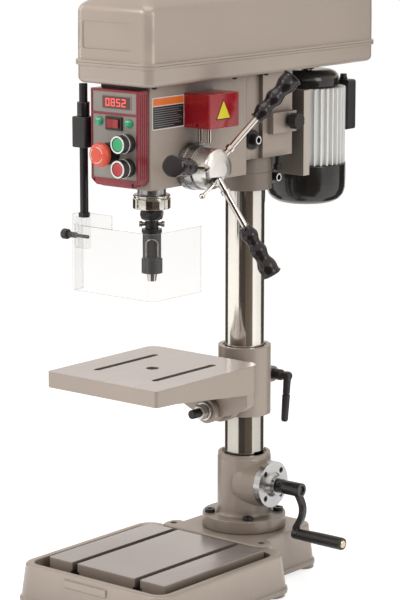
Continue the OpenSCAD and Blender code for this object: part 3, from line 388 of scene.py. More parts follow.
def rr(w, l, r, n=7):
    """Outline of a rounded rectangle, centred, counter-clockwise."""
    r = max(0.05, min(r, w / 2 - 0.01, l / 2 - 0.01))
    pts = []
    for k, (sx, sy) in enumerate(((1, 1), (-1, 1), (-1, -1), (1, -1))):
        cx, cy = sx * (w / 2 - r), sy * (l / 2 - r)
        for i in range(n + 1):
            a = radians(90 * k + 90 * i / n)
            pts.append((cx + r * cos(a), cy + r * sin(a)))
    return pts


def rr_rings(c, sections):
    """sections: (width, length, corner radius, z)."""
    return [[(c[0] + x, c[1] + y, z) for x, y in rr(w, l, r)] for w, l, r, z in sections]


TURN = {
    "z": Matrix.Identity(3),
    "x": Matrix(((0, 0, 1), (1, 0, 0), (0, 1, 0))),
    "y": Matrix(((0, 1, 0), (0, 0, 1), (1, 0, 0))),
}


def turned(rings, axis):
    """Points given as (u, v, w) with w along the named axis."""
    m = TURN[axis]
    return [[tuple(m @ Vector(p)) for p in r] for r in rings]


def block(name, b, r, f, body=None, mat=None, axis="z", f0=None, bm=None):
    """Box b = (x0,y0,z0,x1,y1,z1), corner radius r about the axis, edge fillet f at both ends."""
    f0 = f if f0 is None else f0
    order = {"z": (0, 1, 2), "x": (1, 2, 0), "y": (2, 0, 1)}[axis]
    lo = [b[i] for i in order]
    hi = [b[i + 3] for i in order]
    w, l = hi[0] - lo[0], hi[1] - lo[1]
    c = ((hi[0] + lo[0]) / 2, (hi[1] + lo[1]) / 2)
    s = []
    if f0:
        for i in range(5):
            t = radians(90 * i / 4)
            inset = f0 * (1 - sin(t))
            s.append((w - 2 * inset, l - 2 * inset, r - inset * 0.6, lo[2] + f0 * (1 - cos(t))))
    else:
        s.append((w, l, r, lo[2]))
    if f:
        for i in range(5):
            t = radians(90 * i / 4)
            inset = f * (1 - cos(t))
            s.append((w - 2 * inset, l - 2 * inset, r - inset * 0.6, hi[2] - f + f * sin(t)))
    else:
        s.append((w, l, r, hi[2]))
    own = bm is None
    bm = bm or bmesh.new()
    skin(bm, turned(rr_rings(c, s), axis))
    return finish_mesh(bm, name, body, mat) if own else None


def outline(name, pts, w0, w1, f, body, mat, axis):
    """Extrudes a 2D outline (u, v) along an axis from w0 to w1 with an edge fillet f."""
    n = len(pts)
    area = sum(pts[i][0] * pts[(i + 1) % n][1] - pts[(i + 1) % n][0] * pts[i][1] for i in range(n))
    if area < 0:
        pts = list(reversed(pts))
    nor = []
    for i in range(n):
        a, b, c = (Vector(pts[i - 1]), Vector(pts[i]), Vector(pts[(i + 1) % n]))
        d0, d1 = (b - a).normalized(), (c - b).normalized()
        n0, n1 = Vector((d0.y, -d0.x)), Vector((d1.y, -d1.x))
        v = n0 + n1
        v = v / max(0.3, v.length_squared / 2)
        nor.append(v)
    rings = []
    steps = [radians(90 * i / 3) for i in range(4)] if f else [radians(90)]
    for t in steps:
        k = f * (1 - sin(t))
        z = w0 + f * (1 - cos(t)) if f else w0
        rings.append([(p[0] - q.x * k, p[1] - q.y * k, z) for p, q in zip(pts, nor)])
    for t in (steps if f else [0]):
        k = f * (1 - cos(t))
        z = w1 - f + f * sin(t) if f else w1
        rings.append([(p[0] - q.x * k, p[1] - q.y * k, z) for p, q in zip(pts, nor)])
    bm = bmesh.new()
    skin(bm, turned(rings, axis))
    return finish_mesh(bm, name, body, mat)


def soften(pts, r, n=4, closed=False):
    """Rounds the corners of a profile."""
    out = []
    m = len(pts)
    for i, p in enumerate(pts):
        if not closed and i in (0, m - 1):
            out.append(p)
            continue
        a, b, c = Vector(pts[i - 1]), Vector(p), Vector(pts[(i + 1) % m])
        u, v = (a - b), (c - b)
        k = min(r, u.length * 0.48, v.length * 0.48)
        u.normalize()
        v.normalize()
        if k < 0.02 or abs(u.dot(v)) > 0.999:
            out.append(p)
            continue
        s, e = b + u * k, b + v * k
        for j in range(n + 1):
            t = j / n
            q = s * (1 - t) ** 2 + b * 2 * t * (1 - t) + e * t * t
            out.append((q.x, q.y))
    return out


def lathe(name, prof, place, body=None, mat=None, seg=72, bm=None, closed=False):
    """Revolves (radius, height) points about the local Z of the placement matrix."""
    own = bm is None
    bm = bm or bmesh.new()
    rows = []
    for r, z in prof:
        if r < 1e-4:
            rows.append([bm.verts.new(place @ Vector((0, 0, z / 1000)))])
        else:
            rows.append([bm.verts.new(place @ Vector((u, v, z / 1000))) for u, v in circle(r / 1000, seg)])
    pairs = list(zip(rows, rows[1:])) + ([(rows[-1], rows[0])] if closed else [])
    for a, b in pairs:
        for i in range(seg):
            j = (i + 1) % seg
            if len(a) == 1 and len(b) > 1:
                bm.faces.new((a[0], b[j], b[i]))
            elif len(b) == 1 and len(a) > 1:
                bm.faces.new((a[i], a[j], b[0]))
            elif len(a) > 1:
                bm.faces.new((a[i], a[j], b[j], b[i]))
    return finish_mesh(bm, name, body, mat) if own else None


def at(x, y, z, direction=(0, 0, 1)):
    """Placement whose local Z points along the direction, at a point in mm."""
    q = Vector((0, 0, 1)).rotation_difference(Vector(direction).normalized())
    return Matrix.Translation(Vector((x, y, z)) / 1000) @ q.to_matrix().to_4x4()


def boxy(c, k):
    """A sine or cosine pushed outwards, which squares a circle off when k is below 1."""
    return copysign(abs(c) ** k, c)


def sweep(name, pts, radii, body=None, mat=None, seg=20, flat=1.0, up=(0, 1, 0), square=1.0,
          bm=None):
    """Tube along points (mm); radii per point; flat widens it along up, square below 1 squares it off."""
    own = bm is None
    bm = bm or bmesh.new()
    rings = []
    for i, p in enumerate(pts):
        a = Vector(pts[max(0, i - 1)])
        b = Vector(pts[min(len(pts) - 1, i + 1)])
        t = (b - a).normalized()
        u = Vector(up)
        u = (u - t * u.dot(t)).normalized()
        v = t.cross(u)
        r = radii[i]
        rings.append([tuple(Vector(p) + u * r * flat * boxy(cos(2 * pi * (k + 0.5) / seg), square)
                            + v * r * boxy(sin(2 * pi * (k + 0.5) / seg), square)) for k in range(seg)])
    skin(bm, rings)
    return finish_mesh(bm, name, body, mat) if own else None


def solid(fn):
    """A loose tool whose mesh fn(bm) makes."""
    bm = bmesh.new()
    fn(bm)
    return finish_mesh(bm, "tool")


def combine(target, tools, operation):
    """Joins or cuts the target with loose tools, which are used up."""
    for t in tools:
        m = target.modifiers.new("b", "BOOLEAN")
        m.operation = operation
        m.solver = "EXACT"
        m.object = t
    dg = bpy.context.evaluated_depsgraph_get()
    me = bpy.data.meshes.new_from_object(target.evaluated_get(dg))
    target.modifiers.clear()
    bm = bmesh.new()
    bm.from_mesh(me)
    bpy.data.meshes.remove(me)
    bmesh.ops.remove_doubles(bm, verts=bm.verts, dist=2e-6)
    bmesh.ops.recalc_face_normals(bm, faces=bm.faces)
    for f in bm.faces:
        f.smooth = True
    for e in bm.edges:
        e.smooth = not (len(e.link_faces) == 2 and e.calc_face_angle(0.0) > radians(28))
    bm.to_mesh(target.data)
    bm.free()
    for t in tools:
        bpy.data.objects.remove(t)


def cyl_tool(r, x, y, z0, z1, axis="z", seg=40):
    """Straight cylinder tool: for axis z (x, y) is its centre; x: (y, z); y: (z, x)."""
    rings = [[(x + u, y + v, z) for u, v in circle(r, seg)] for z in (z0, z1)]
    return solid(lambda bm: skin(bm, turned(rings, axis)))


def box_tool(b):
    """Box tool between the corners b."""
    return solid(lambda bm: block("", b, 0.05, 0, bm=bm))


# ---- base
bx = box("base")
tray_front, tray_half, rear = bx[1] + 9, (bx[3] - bx[0]) / 2 - 9, bx[4] - 16
rim, deck = 74.0, 80.0
tray_back, moat_back = -76.0, -98.0
deck_half, deck_front, deck_back = 130.0, -369.0, -105.0
slot_x = 70.0
tl, tw = tray_back - tray_front, 2 * tray_half
tc = (0.0, (tray_back + tray_front) / 2)


def flare(w, l, r, top, edge):
    """Sections of a base wall that widens downwards and ends in a foot flange."""
    s = [(w - 22, l - 22, r - 10, 44), (w - 20, l - 20, r - 9, 12), (w + 4, l + 4, r, 6.6),
         (w + 12, l + 12, r + 2, 6.0), (w + 16.6, l + 16.6, r + 3.6, 6.6), (w + 18, l + 18, r + 4, 8.4),
         (w + 18, l + 18, r + 4, 13.0), (w + 16.4, l + 16.4, r + 3.4, 15.2),
         (w + 13, l + 13, r + 2.4, 16.4), (w + 11.2, l + 11.2, r + 1.6, 18.6)]
    for z in (24, 34, 46, 58):
        k = (top - z) / (top - 16.0)
        s.append((w + 10 * k + 1.2 * k * k, l + 10 * k + 1.2 * k * k, r, z))
    for i in range(6):
        t = radians(90 * i / 5)
        inset = edge * (1 - cos(t))
        s.append((w - 2 * inset, l - 2 * inset, r - inset * 0.6, top - edge + edge * sin(t)))
    return s


bm = bmesh.new()
moat_c = (0.0, (moat_back + tray_front + 15) / 2)
mw, ml = tw - 28, moat_back - (tray_front + 15)
moat = [(mw + 3.4, ml + 3.4, 21.5, rim), (mw + 1.0, ml + 1.0, 20.5, rim - 0.9), (mw, ml, 20, rim - 2.6),
        (mw - 3, ml - 3, 19, 57), (mw - 6.5, ml - 6.5, 17.5, 53.2), (mw - 12, ml - 12, 15, 52)]
skin(bm, rr_rings(tc, flare(tw, tl, 32, rim, 4.0)) + rr_rings(moat_c, moat))
tray = finish_mesh(bm, "base_tray", "base", m_tray)
bm = bmesh.new()
skin(bm, rr_rings((0.0, (rear - 90.0) / 2), flare(188.0, rear + 90.0, 28, deck, 3.0)))
pad = finish_mesh(bm, "base_pad", mat=m_cast)
bm = bmesh.new()
skin(bm, rr_rings((0.0, tray_back), flare(228.0, 42.0, 16, deck, 3.0)))
web = finish_mesh(bm, "base_web", mat=m_cast)
plaque = block("base_plaque", (-52, tray_front - 3.4, 53, 42, tray_front + 6, 66), 2.0, 0.8, mat=m_cast,
               axis="y", f0=0.8)
feet = [cyl_tool(24, sx * (tray_half - 20), y, 0.0, 12.0) for sx in (-1, 1)
        for y in (tray_front + 24, tray_back - 24)]
feet += [cyl_tool(20, sx * 80, rear - 18, 0.0, 12.0) for sx in (-1, 1)]
combine(tray, [pad, web, plaque] + feet, "UNION")
bore = [cyl_tool(38.0, 0, 0, 14.0, 90.0)] + [cyl_tool(6.0, x, tray_back, -1, 90) for x in (-99, 99)]
combine(tray, bore, "DIFFERENCE")
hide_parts("base")
m_base_top = two_faced("base_block", deck, PAINT, 0.80)
deck_block = block("base_block", (-deck_half, deck_front, 50.5, deck_half, deck_back, deck), 4.0, 1.0,
                   "base", m_base_top, f0=0)
cuts = []
for x in (-slot_x, slot_x):
    cuts.append(box_tool((x - 6, deck_front - 3, 56, x + 6, deck_back + 4, 84)))
    cuts.append(box_tool((x - 10, deck_front - 3, 56, x + 10, deck_back + 4, 65)))
combine(deck_block, cuts, "DIFFERENCE")
# pedestal of the lifting screw stays inside the column
lathe("screw_pedestal", [(10.04, 102), (21, 102), (21, 137), (10.04, 137)], at(0, 0, 0), "base", m_cast,
      closed=True)
lathe("screw_pedestal_foot", [(0, 14), (20.9, 14), (20.9, 102), (0, 102)], at(0, 0, 0), "base", m_cast)

# ---- column seat
prof = soften([(COLUMN_BORE, 80), (74, 80), (74, 103), (51, 103), (48.6, 105.5), (47.5, 110), (47.5, 206),
               (46.6, 208.5), (46.6, 214), (39.2, 214), (38.2, 211), (COLUMN_BORE, 211)], 1.8, 5,
              closed=True)
seat = lathe("column_seat_body", prof, at(0, 0, 0), "base", m_seat, seg=96, closed=True)
prof = soften([(0, 12), (50, 12), (47.5, 30), (43.6, 42), (41.4, 49), (41, 53), (0, 53)], 1.2, 4)
boss = solid(lambda bm: lathe("", prof, at(0, 0, CRANK_Z, (1, 0, 0)), seg=72, bm=bm))
combine(seat, [boss], "UNION")
combine(seat, [cyl_tool(COLUMN_BORE, 0, 0, 70, 230, seg=96),
               cyl_tool(24, 0, CRANK_Z, 10, 66, axis="x", seg=48)], "DIFFERENCE")
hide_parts("column_seat")

# ---- crank
throw = 80.0
grip_place = at(0, 0, CRANK_Z - throw, (1, 0, 0))
bm = bmesh.new()
prof = [(10.02, 79.5), (12.4, 79.5), (12.5, 129), (7.5, 129), (7.5, 125.2), (0, 125.2), (0, 125.0),
        (10.02, 125.0)]
lathe("", soften(prof, 0.9, 3), at(0, 0, CRANK_Z, (1, 0, 0)), seg=48, bm=bm)
path = []
for i in range(25):
    t = i / 24
    path.append((115 + 3 * t + 15 * sin(pi * min(1, t / 0.857)), 0.0, CRANK_Z - throw * t))
sweep("", path, [5.5] * len(path), seg=32, flat=1.17, square=0.5, bm=bm)
prof = [(0, 112), (9.4, 112), (10.0, 116), (10.0, 124), (0, 124)]
lathe("", soften(prof, 1.6, 4), grip_place, seg=40, bm=bm)
arm = finish_mesh(bm, "crank_arm_body", "crank", m_blackpaint)
prof = [(0, 122), (5, 122), (5, 215.8), (7, 215.9), (7, 219.2), (5.8, 220.2), (0, 220.2)]
lathe("crank_pin", soften(prof, 0.5, 3), grip_place, "crank", m_brass, seg=36)
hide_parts("crank_arm")
swell = []
for i in range(31):
    t = i / 30
    r = 9.6 + 1.2 * sin(pi * 0.5 * min(1, t * 1.6)) + 0.15 * t - (0.9 if t > 0.98 else 0)
    swell.append((r, 124.4 + 94.4 * t))
prof = [(5.05, 124.4)] + soften(swell, 0.4) + [(7.5, 218.8), (7.5, 215.5), (5.05, 215.5)]
grip = lathe("crank_grip_body", prof, grip_place, "crank_grip", m_plastic, seg=48,
             closed=True)
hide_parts("crank_grip")

# ---- cover
pb, lb = box("cover_pan"), box("cover_lid")
half, front, back = pb[3] - 4.0, pb[1] + 4.0, pb[4] - 4.0
cw, cl = 2 * half, back - front
cc = (0.0, (front + back) / 2)
z0, seam = pb[2], pb[5]
s = []
for i in range(7):
    t = radians(90 * i / 6)
    inset = 9.0 * (1 - sin(t))
    s.append((cw - 2 * inset, cl - 2 * inset, 20 - inset * 0.5, z0 + 9.0 * (1 - cos(t))))
s += [(cw, cl, 20, seam - 7.0), (cw + 0.8, cl + 0.8, 20.3, seam - 5.4),
      (cw + 3.4, cl + 3.4, 21.5, seam - 4.4), (cw + 6.6, cl + 6.6, 23.2, seam - 4.0),
      (cw + 8, cl + 8, 24, seam - 3.0), (cw + 8, cl + 8, 24, seam - 0.8), (cw + 7, cl + 7, 23.6, seam),
      (cw - 6, cl - 6, 17, seam), (cw - 6, cl - 6, 17, z0 + 12), (cw - 9, cl - 9, 16, z0 + 6),
      (cw - 20, cl - 20, 14, z0 + 3)]
bm = bmesh.new()
skin(bm, rr_rings(cc, s))
pan = finish_mesh(bm, "cover_pan_shell", "head", m_sheet)
slot_tool = solid(lambda bm: skin(bm, [[(x, 168.5 + y, z) for x, y in rr(28, 42, 13.9)]
                                       for z in (z0 - 2, z0 + 8)]))
combine(pan, [cyl_tool(22, 0, SPINDLE_Y, z0 - 2, z0 + 8), slot_tool], "DIFFERENCE")
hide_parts("cover_pan")
bm = bmesh.new()
for y in (-317, -112, -27):
    lathe("", soften([(0, 0), (3.2, 0), (4.6, 2.0), (4.6, 4.2), (0, 4.2)], 0.4), at(66, y, z0 - 4.4),
          seg=24, bm=bm)
finish_mesh(bm, "pan_screws", "head", m_black)

# ---- lid
wall_top, shoulder, roof_z = 968.0, 1015.0, lb[5]
bevel = 33.0
hinge_x = -92.0


def roof(inset, dz=0.0):
    """Sections of the lid's wall and roof; inset and dz move them inwards for the inside skin."""
    r = 20 - inset * 0.6
    out = [(cw - 2 * inset, cl - 2 * inset, r, z) for z in (seam + 6.5, wall_top)]
    pts = soften([(0.0, wall_top), (0.6, shoulder), (bevel, roof_z), (bevel + 30, roof_z)], 9.0, 6)
    for k, z in pts[1:]:
        w = cw - 2 * (k + inset)
        out.append((w, cl - 2 * (k + inset), max(4.0, r + k * 0.12), z - dz))
    return out


top = [(cw + 6.8, cl + 6.8, 23.4, seam + 0.35), (cw + 8, cl + 8, 24, seam + 1.2),
       (cw + 8, cl + 8, 24, seam + 3.2), (cw + 6.8, cl + 6.8, 23.4, seam + 4.2),
       (cw + 3.0, cl + 3.0, 21.4, seam + 4.6), (cw + 0.6, cl + 0.6, 20.2, seam + 5.4)]
outer = top + roof(0.0)
inside = [(cw - 6, cl - 6, 17, seam + 0.35)] + roof(3.0, 3.0)
bm = bmesh.new()
skin(bm, rr_rings(cc, list(reversed(inside)) + outer))
lid = finish_mesh(bm, "cover_lid_shell", "lid", m_sheet, angle=40)
rec = solid(lambda bm: block("", (-61, front - 3, 947, 43, front + 1.2, 992), 4.0, 0, axis="y", bm=bm))
combine(lid, [rec], "DIFFERENCE")
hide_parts("cover_lid")
bm = bmesh.new()
for y in (-200, 110):
    lathe("", soften([(2.56, -9.6), (4.6, -9.6), (4.6, 9.6), (2.56, 9.6)], 0.3, 2, closed=True),
          at(hinge_x, y, seam, (0, 1, 0)), seg=28, bm=bm, closed=True)
    block("", (hinge_x + 3.6, y - 9.6, seam + 0.7, -84.5, y + 9.6, seam + 4.0), 0.3, 0.3, bm=bm)
finish_mesh(bm, "lid_hinge_leaves", "lid", m_steel)

# ---- control box, display and buttons
_, yf, zb, w, yb, zt = box("control_box")
prof = soften([(zt, -w), (zt, w), (zb + 9, w), (zb, w - 12), (zb, -w + 12), (zb + 9, -w)], 1.6, 3,
              closed=True)
frame_box = outline("control_frame", prof, yf, yb, 1.4, "head", m_darkred, "y")
tools = [box_tool((-w + 3.5, yf - 2, zb + 12, w - 3.5, yb + 2, 841.5)),
         box_tool((-w + 3.5, yf - 2, 845, w - 3.5, yb + 2, zt - 4))]
for k in range(4):
    y = yf + 6.0 + k * 5.0
    for sx in (-1, 1):
        tools.append(box_tool((sx * w - 0.9, y, zb + 14, sx * w + 0.9, y + 1.1, zt - 6)))
tools += [cyl_tool(3.6, z, x, yf - 2, yf + 2.2, axis="y", seg=24) for x, z in ((-43, 732.5), (41, 730))]
combine(frame_box, tools, "DIFFERENCE")
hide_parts("control_box")

pf = box("control_panel")[1]
bm = bmesh.new()
block("", (-25, pf - 0.7, 852.0, 34, pf + 0.4, 872.0), 1.2, 0.2, axis="y", bm=bm)
finish_mesh(bm, "display_glass", "head", m_window)
SEG = {"0": "abcdef", "8": "abcdefg", "5": "acdfg", "2": "abged"}
bm = bmesh.new()
dw, dh, th = 8.2, 12.6, 1.7
for k, ch in enumerate("0852"):
    x0, zc = -17.5 + k * 11.6, 855.8
    spans = {"a": (0, dh - th, dw, dh), "d": (0, 0, dw, th),
             "g": (0, dh / 2 - th / 2, dw, dh / 2 + th / 2), "b": (dw - th, dh / 2, dw, dh),
             "c": (dw - th, 0, dw, dh / 2), "f": (0, dh / 2, th, dh), "e": (0, 0, th, dh / 2)}
    for sname in SEG[ch]:
        a = spans[sname]
        block("", (x0 + a[0] + 0.25, pf - 1.1, zc + a[1] + 0.25, x0 + a[2] - 0.25, pf - 0.6,
                   zc + a[3] - 0.25), 0.4, 0.1, axis="y", bm=bm)
finish_mesh(bm, "display_digits", "head", m_digit)
bm = bmesh.new()
for x, z in ((30, 798), (30, 758)):
    lathe("", soften([(11.5, 0), (14.4, 0), (14.4, 1.5), (11.5, 1.5)], 0.5, 3, closed=True),
          at(x, yf - 25.2, z, (0, -1, 0)), seg=48, bm=bm, closed=True)
    lathe("", soften([(15.1, 0), (15.9, 0), (15.9, 2), (15.1, 2)], 0.3, 2, closed=True),
          at(x, yf - 12, z, (0, -1, 0)), seg=48, bm=bm, closed=True)
finish_mesh(bm, "bezel_rings", "head", m_silver)
for node, mat, slot_name in (("start_button", m_button_green, "green"),
                             ("stop_button", m_stop_red, "bright_red")):
    b = box(node)
    x, z = (b[0] + b[3]) / 2, (b[2] + b[5]) / 2
    prof = soften([(0, 0), (10.9, 0), (10.9, 11.2), (10.0, 12.0), (6, 11.2), (0, 10.9)], 0.7, 4)
    cap = lathe(node + "_cap", prof, at(x, b[4], z, (0, -1, 0)), node, mat, seg=48)
    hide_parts(node)
b = box("estop_button")
x, z = (b[0] + b[3]) / 2, (b[2] + b[5]) / 2
prof = [(0, 0), (12, 0), (12, 10.6), (18.6, 11.0), (20, 13.4), (20, 19.4), (18.4, 23.2), (14.4, 25.4),
        (8, 26.3), (0, 26.6)]
mushroom = lathe("estop_mushroom", soften(prof, 1.4, 4), at(x, b[4], z, (0, -1, 0)), "estop_button",
                 m_button_red, seg=64)
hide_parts("estop_button")
bm = bmesh.new()
for a0 in (15, 135, 255):
    pts = []
    for k in range(13):
        a = radians(a0 + 7 * k)
        pts.append((x + 12.6 * cos(a), b[4] - 26.1, z + 12.6 * sin(a)))
    sweep("", pts, [0.75 if k < 12 else 0.3 for k in range(13)], seg=10, up=(0, 1, 0), flat=0.45, bm=bm)
finish_mesh(bm, "estop_arrows", "estop_button", m_white)

# ---- switch box, label
lx0, ly0, lz0, lx1, ly1, lz1 = box("limit_box")
red_box = block("limit_switch_box", (lx0, ly0, lz0, lx1 - 0.4, ly1, lz1), 2.5, 1.6, "head", m_red,
                axis="x", f0=0)
tools = [cyl_tool(4.5, x, FEED_Y, lz0 - 2, lz0 + 6) for x in (74, 93)]
tools += [cyl_tool(2.6, lz0 + 6, 82, ly0 - 2, ly0 + 3, axis="y", seg=24),
          box_tool((lx1 - 6.6, ly0 - 1, lz0 - 1, lx1 - 6.0, ly0 + 0.5, lz1 + 1)),
          box_tool((lx1 - 6.6, ly0 - 1, lz0 - 1, lx1 - 6.0, ly1 + 1, lz0 + 0.5))]
combine(red_box, tools, "DIFFERENCE")
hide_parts("limit_box")
tri = [(-213.5, 829), (-174, 829), (-193.5, 863)]
outline("warning_triangle_edge", soften(tri, 3, 3, closed=True), lx1 - 0.6, lx1 - 0.2, 0, "head", m_ink,
        "x")
tri = [(-210.2, 831), (-176.8, 831), (-193.5, 860)]
outline("warning_triangle", soften(tri, 2, 3, closed=True), lx1 - 0.6, lx1 - 0.02, 0, "head", m_yellow,
        "x")
lp = box("label_plate")
bm = bmesh.new()
block("", (lp[0] - 0.02, lp[1], lp[2], lp[3] - 0.25, lp[4], lp[5]), 2.0, 0.1, axis="x", bm=bm)
label = finish_mesh(bm, "label_sheet", "head", m_white)
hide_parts("label_plate")
block("label_header", (lp[3] - 0.3, lp[1] + 1.8, lp[5] - 13.5, lp[3] - 0.1, lp[4] - 1.5, lp[5] - 1.8),
      0.8, 0.05, "head", m_orange, axis="x")
block("label_field", (lp[3] - 0.3, lp[1] + 1.8, lp[2] + 1.8, lp[3] - 0.1, lp[4] - 1.5, lp[5] - 15.0), 0.8,
      0.05, "head", m_ink, axis="x")

bm = bmesh.new()
for k in range(9):
    z = lp[5] - 18.4 - 3.6 * k
    end = lp[4] - 4.0 - (0, 9, 3, 14, 6, 1, 11, 4, 22)[k]
    block("", (lp[3] - 0.2, lp[1] + 4.5, z - 0.45, lp[3] - 0.02, end, z + 0.45), 0.2, 0.02, axis="x", bm=bm)
finish_mesh(bm, "label_rules", "head", m_rule)

# ---- lever grips and the depth ring's graduations
tilt = radians(20.9)
prof = [(5.55, 110.0), (10.6, 110.0), (11.6, 111.5)]
for k in range(43):
    u = k / 42
    swell = 2.1 * sin(radians(1080 * u - 90)) * (1 - 0.3 * u)
    prof.append((11.6 + 2.4 * u + swell + 4.0 * u ** 7, 112.5 + 87.0 * u))
prof += [(17.6, 201.2), (16.0, 202.7), (12, 203.0), (0, 203.0), (0, 183.1), (5.55, 183.1)]
bm = bmesh.new()
for i in range(3):
    a = radians(50.6 + 120 * i)
    along = (sin(tilt), cos(tilt) * cos(a), cos(tilt) * sin(a))
    lathe("", prof, at(100, FEED_Y, FEED_Z, along), seg=56, bm=bm)
grips = finish_mesh(bm, "lever_grips", "feed", m_grip)
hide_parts("feed_grips")

bm = bmesh.new()
for k in range(60):
    a = 2 * pi * k / 60
    long = 6.5 if k % 5 == 0 else 4.0
    c = Vector((0, cos(a), sin(a)))
    t = Vector((0, -sin(a), cos(a)))
    o = Vector((0, FEED_Y, FEED_Z))
    ring = []
    for xx, tt in ((81.4 - long, -0.22), (81.4, -0.22), (81.4, 0.22), (81.4 - long, 0.22)):
        ring.append(o + Vector((xx, 0, 0)) + t * tt)
    skin(bm, [[tuple(p + c * 36.6) for p in ring], [tuple(p + c * 36.94) for p in ring]])
finish_mesh(bm, "ring_marks", "depth_ring", m_ink)

# ---- motor
mc = box("motor_covers")
motor_y = (mc[1] + mc[4]) / 2
prof = [(11, 847), (58, 847), (58, 864), (54.5, 871.5), (46, 876.6), (36, 878), (11, 878)]
cap = lathe("motor_top_cap", soften(prof, 5.0, 6, closed=True), at(0, motor_y, 0), "motor", m_blackpaint,
            seg=96, closed=True)
prof = [(0, 643.2), (42, 643.4), (52, 645.8), (60, 650.6), (65.2, 657.9), (68, 667), (68.5, 677),
        (68.5, 711.6), (71.3, 711.6), (71.3, 676), (70.7, 666), (67.7, 656), (61.8, 648.2), (53, 642.8),
        (42, 640.2), (0, 640.2)]
cowl = lathe("motor_fan_cowl", soften(prof, 3.0, 4), at(0, motor_y, 0), "motor", m_blackpaint,
             seg=96)
slots = []
for k in range(24):
    a = 2 * pi * k / 24
    for near, far in ((16, 31), (36, 50)):
        corners = ((near, -0.055), (far, -0.04), (far, 0.04), (near, 0.055))
        slots.append([(r * cos(a + da), motor_y + r * sin(a + da)) for r, da in corners])


def slot_cutters(bm):
    """Air slots through the bottom of the cowl."""
    for pts in slots:
        skin(bm, [[(x, y, z) for x, y in pts] for z in (636.0, 652.0)])


combine(cowl, [solid(slot_cutters)], "DIFFERENCE")
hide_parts("motor_covers")
tb = box("terminal_box")
term = block("terminal_box_body", (tb[0], tb[1], tb[2], tb[3], tb[4], tb[2] + 89), 4.0, 2.5, "motor",
             m_plastic, axis="y", f0=0)
lathe("cable_gland", soften([(0, 0), (7, 0), (7, 4), (6, 5), (6, 9.6), (4.4, 10), (0, 10)], 0.5, 3),
      at(20, 257, tb[5] - 10.2), "motor", m_plastic, seg=24)
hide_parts("terminal_box")

# ---- guard
gs = box("guard_switch")
post_place = at(GUARD_X, GUARD_Y, 0)
switch = block("guard_switch_body", (GUARD_X - 15, GUARD_Y - 13, gs[2], GUARD_X + 15, GUARD_Y + 13, 834),
               3.0, 2.0, "head", m_plastic)
combine(switch, [cyl_tool(7.04, GUARD_X, GUARD_Y, gs[2] - 2, 840)], "DIFFERENCE")
lathe("guard_collar", soften([(7.04, 834), (10.5, 834), (10.5, 858), (7.04, 858)], 1.2, 3, closed=True),
      post_place, "head", m_blackpaint, seg=36, closed=True)
block("guard_switch_foot", (GUARD_X + 10, GUARD_Y + 4, 790, -w, GUARD_Y + 13, 828), 1.0, 0.6, "head",
      m_plastic)
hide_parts("guard_switch")
knob = box("guard_knob")
bm = bmesh.new()
rings = []
for r0, x in ((0.2, knob[0]), (7.4, knob[0]), (8.3, knob[0] + 1.2), (8.3, knob[0] + 10.4),
              (7.2, knob[0] + 11.8), (4.9, knob[0] + 12.0), (4.9, -91.4), (3.0, -91.35), (3.0, -64.2),
              (0.2, -64.1)):
    ring = []
    for i in range(72):
        a = 2 * pi * i / 72
        k = 1 + (0.07 * cos(12 * a) if r0 > 6 else 0)
        ring.append((r0 * k * cos(a) + GUARD_Y, r0 * k * sin(a) + GUARD_KNOB_Z, x))
    rings.append(ring)
skin(bm, turned(rings, "x"))
knob_body = finish_mesh(bm, "guard_knob_body", "guard_knob", m_plastic)
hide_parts("guard_knob")
gp = box("guard_post")
rod = lathe("guard_post_rod", soften([(0, 668), (7, 668), (7, gp[5]), (0, gp[5])], 0.8, 3), post_place,
            "guard_post", m_black, seg=40)
prof = [(0, 666.6), (9.2, 666.6), (10, 667.6), (10, 673.4), (9.2, 674.4), (0, 674.4)]
lathe("guard_post_nut", soften(prof, 0.3, 2), post_place, "guard_post", m_black, seg=6)
leaf = block("guard_post_leaf", (-87.6, GUARD_Y - 6, 614, GUARD_X + 9, GUARD_Y + 6, 666.9), 2.0, 0.8,
             "guard_post", m_clear, axis="x")
combine(leaf, [cyl_tool(3.05, GUARD_Y, GUARD_KNOB_Z, -95, -55, axis="x", seg=24)], "DIFFERENCE")
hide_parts("guard_post")

# ---- chuck, nut and collar
prof = [(24.05, 678.5), (31.4, 678.5), (32, 679.6), (32, 695.4), (30.0, 696.4), (30.0, 698.2),
        (31.4, 698.8), (31.4, 701.2), (29.4, 702.4), (24.05, 702.4)]
collar = lathe("quill_collar_ring", soften(prof, 0.7, 3, closed=True), at(0, SPINDLE_Y, 0), "quill",
               m_chrome, seg=96, closed=True)
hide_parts("quill_collar")

lathe("chuck_core", [(0, 594), (8.9, 594), (8.9, 652), (0, 652)], at(0, SPINDLE_Y, 0), "spindle", m_black,
      seg=40)
way = radians(40)
front_v, side_v = Vector((-sin(way), cos(way), 0)), Vector((cos(way), sin(way), 0))
half_w, arch_z = 10.2, 617.5
sill = [(-half_w, 597), (-half_w, 607), (-half_w, arch_z)]
arch = [(-half_w * cos(radians(15 * k)), arch_z + half_w * sin(radians(15 * k))) for k in range(1, 12)]
bm = bmesh.new()
for sign in (-1, 1):
    pts = []
    for u, z in sill + arch + [(-u, z) for u, z in reversed(sill)]:
        depth = sign * sqrt(15.7 ** 2 - u * u)
        pts.append(tuple(Vector((0, SPINDLE_Y, z)) + side_v * u + front_v * depth))
    sweep("", pts, [1.05] * len(pts), seg=12, up=tuple(front_v), bm=bm)
finish_mesh(bm, "chuck_window_rim", "spindle", m_chrome)
bm = bmesh.new()
prof = soften([(0, 11.2), (3.2, 11.2), (3.2, 16), (5.1, 16.4), (5.1, 20.6), (3.6, 21.0), (0, 21.0)], 0.6, 3)
for a in (radians(38), radians(218)):
    lathe("", prof, at(0, SPINDLE_Y, 651.5, (cos(a), sin(a), 0)), seg=28, bm=bm)
finish_mesh(bm, "nut_pins", "spindle", m_chrome)

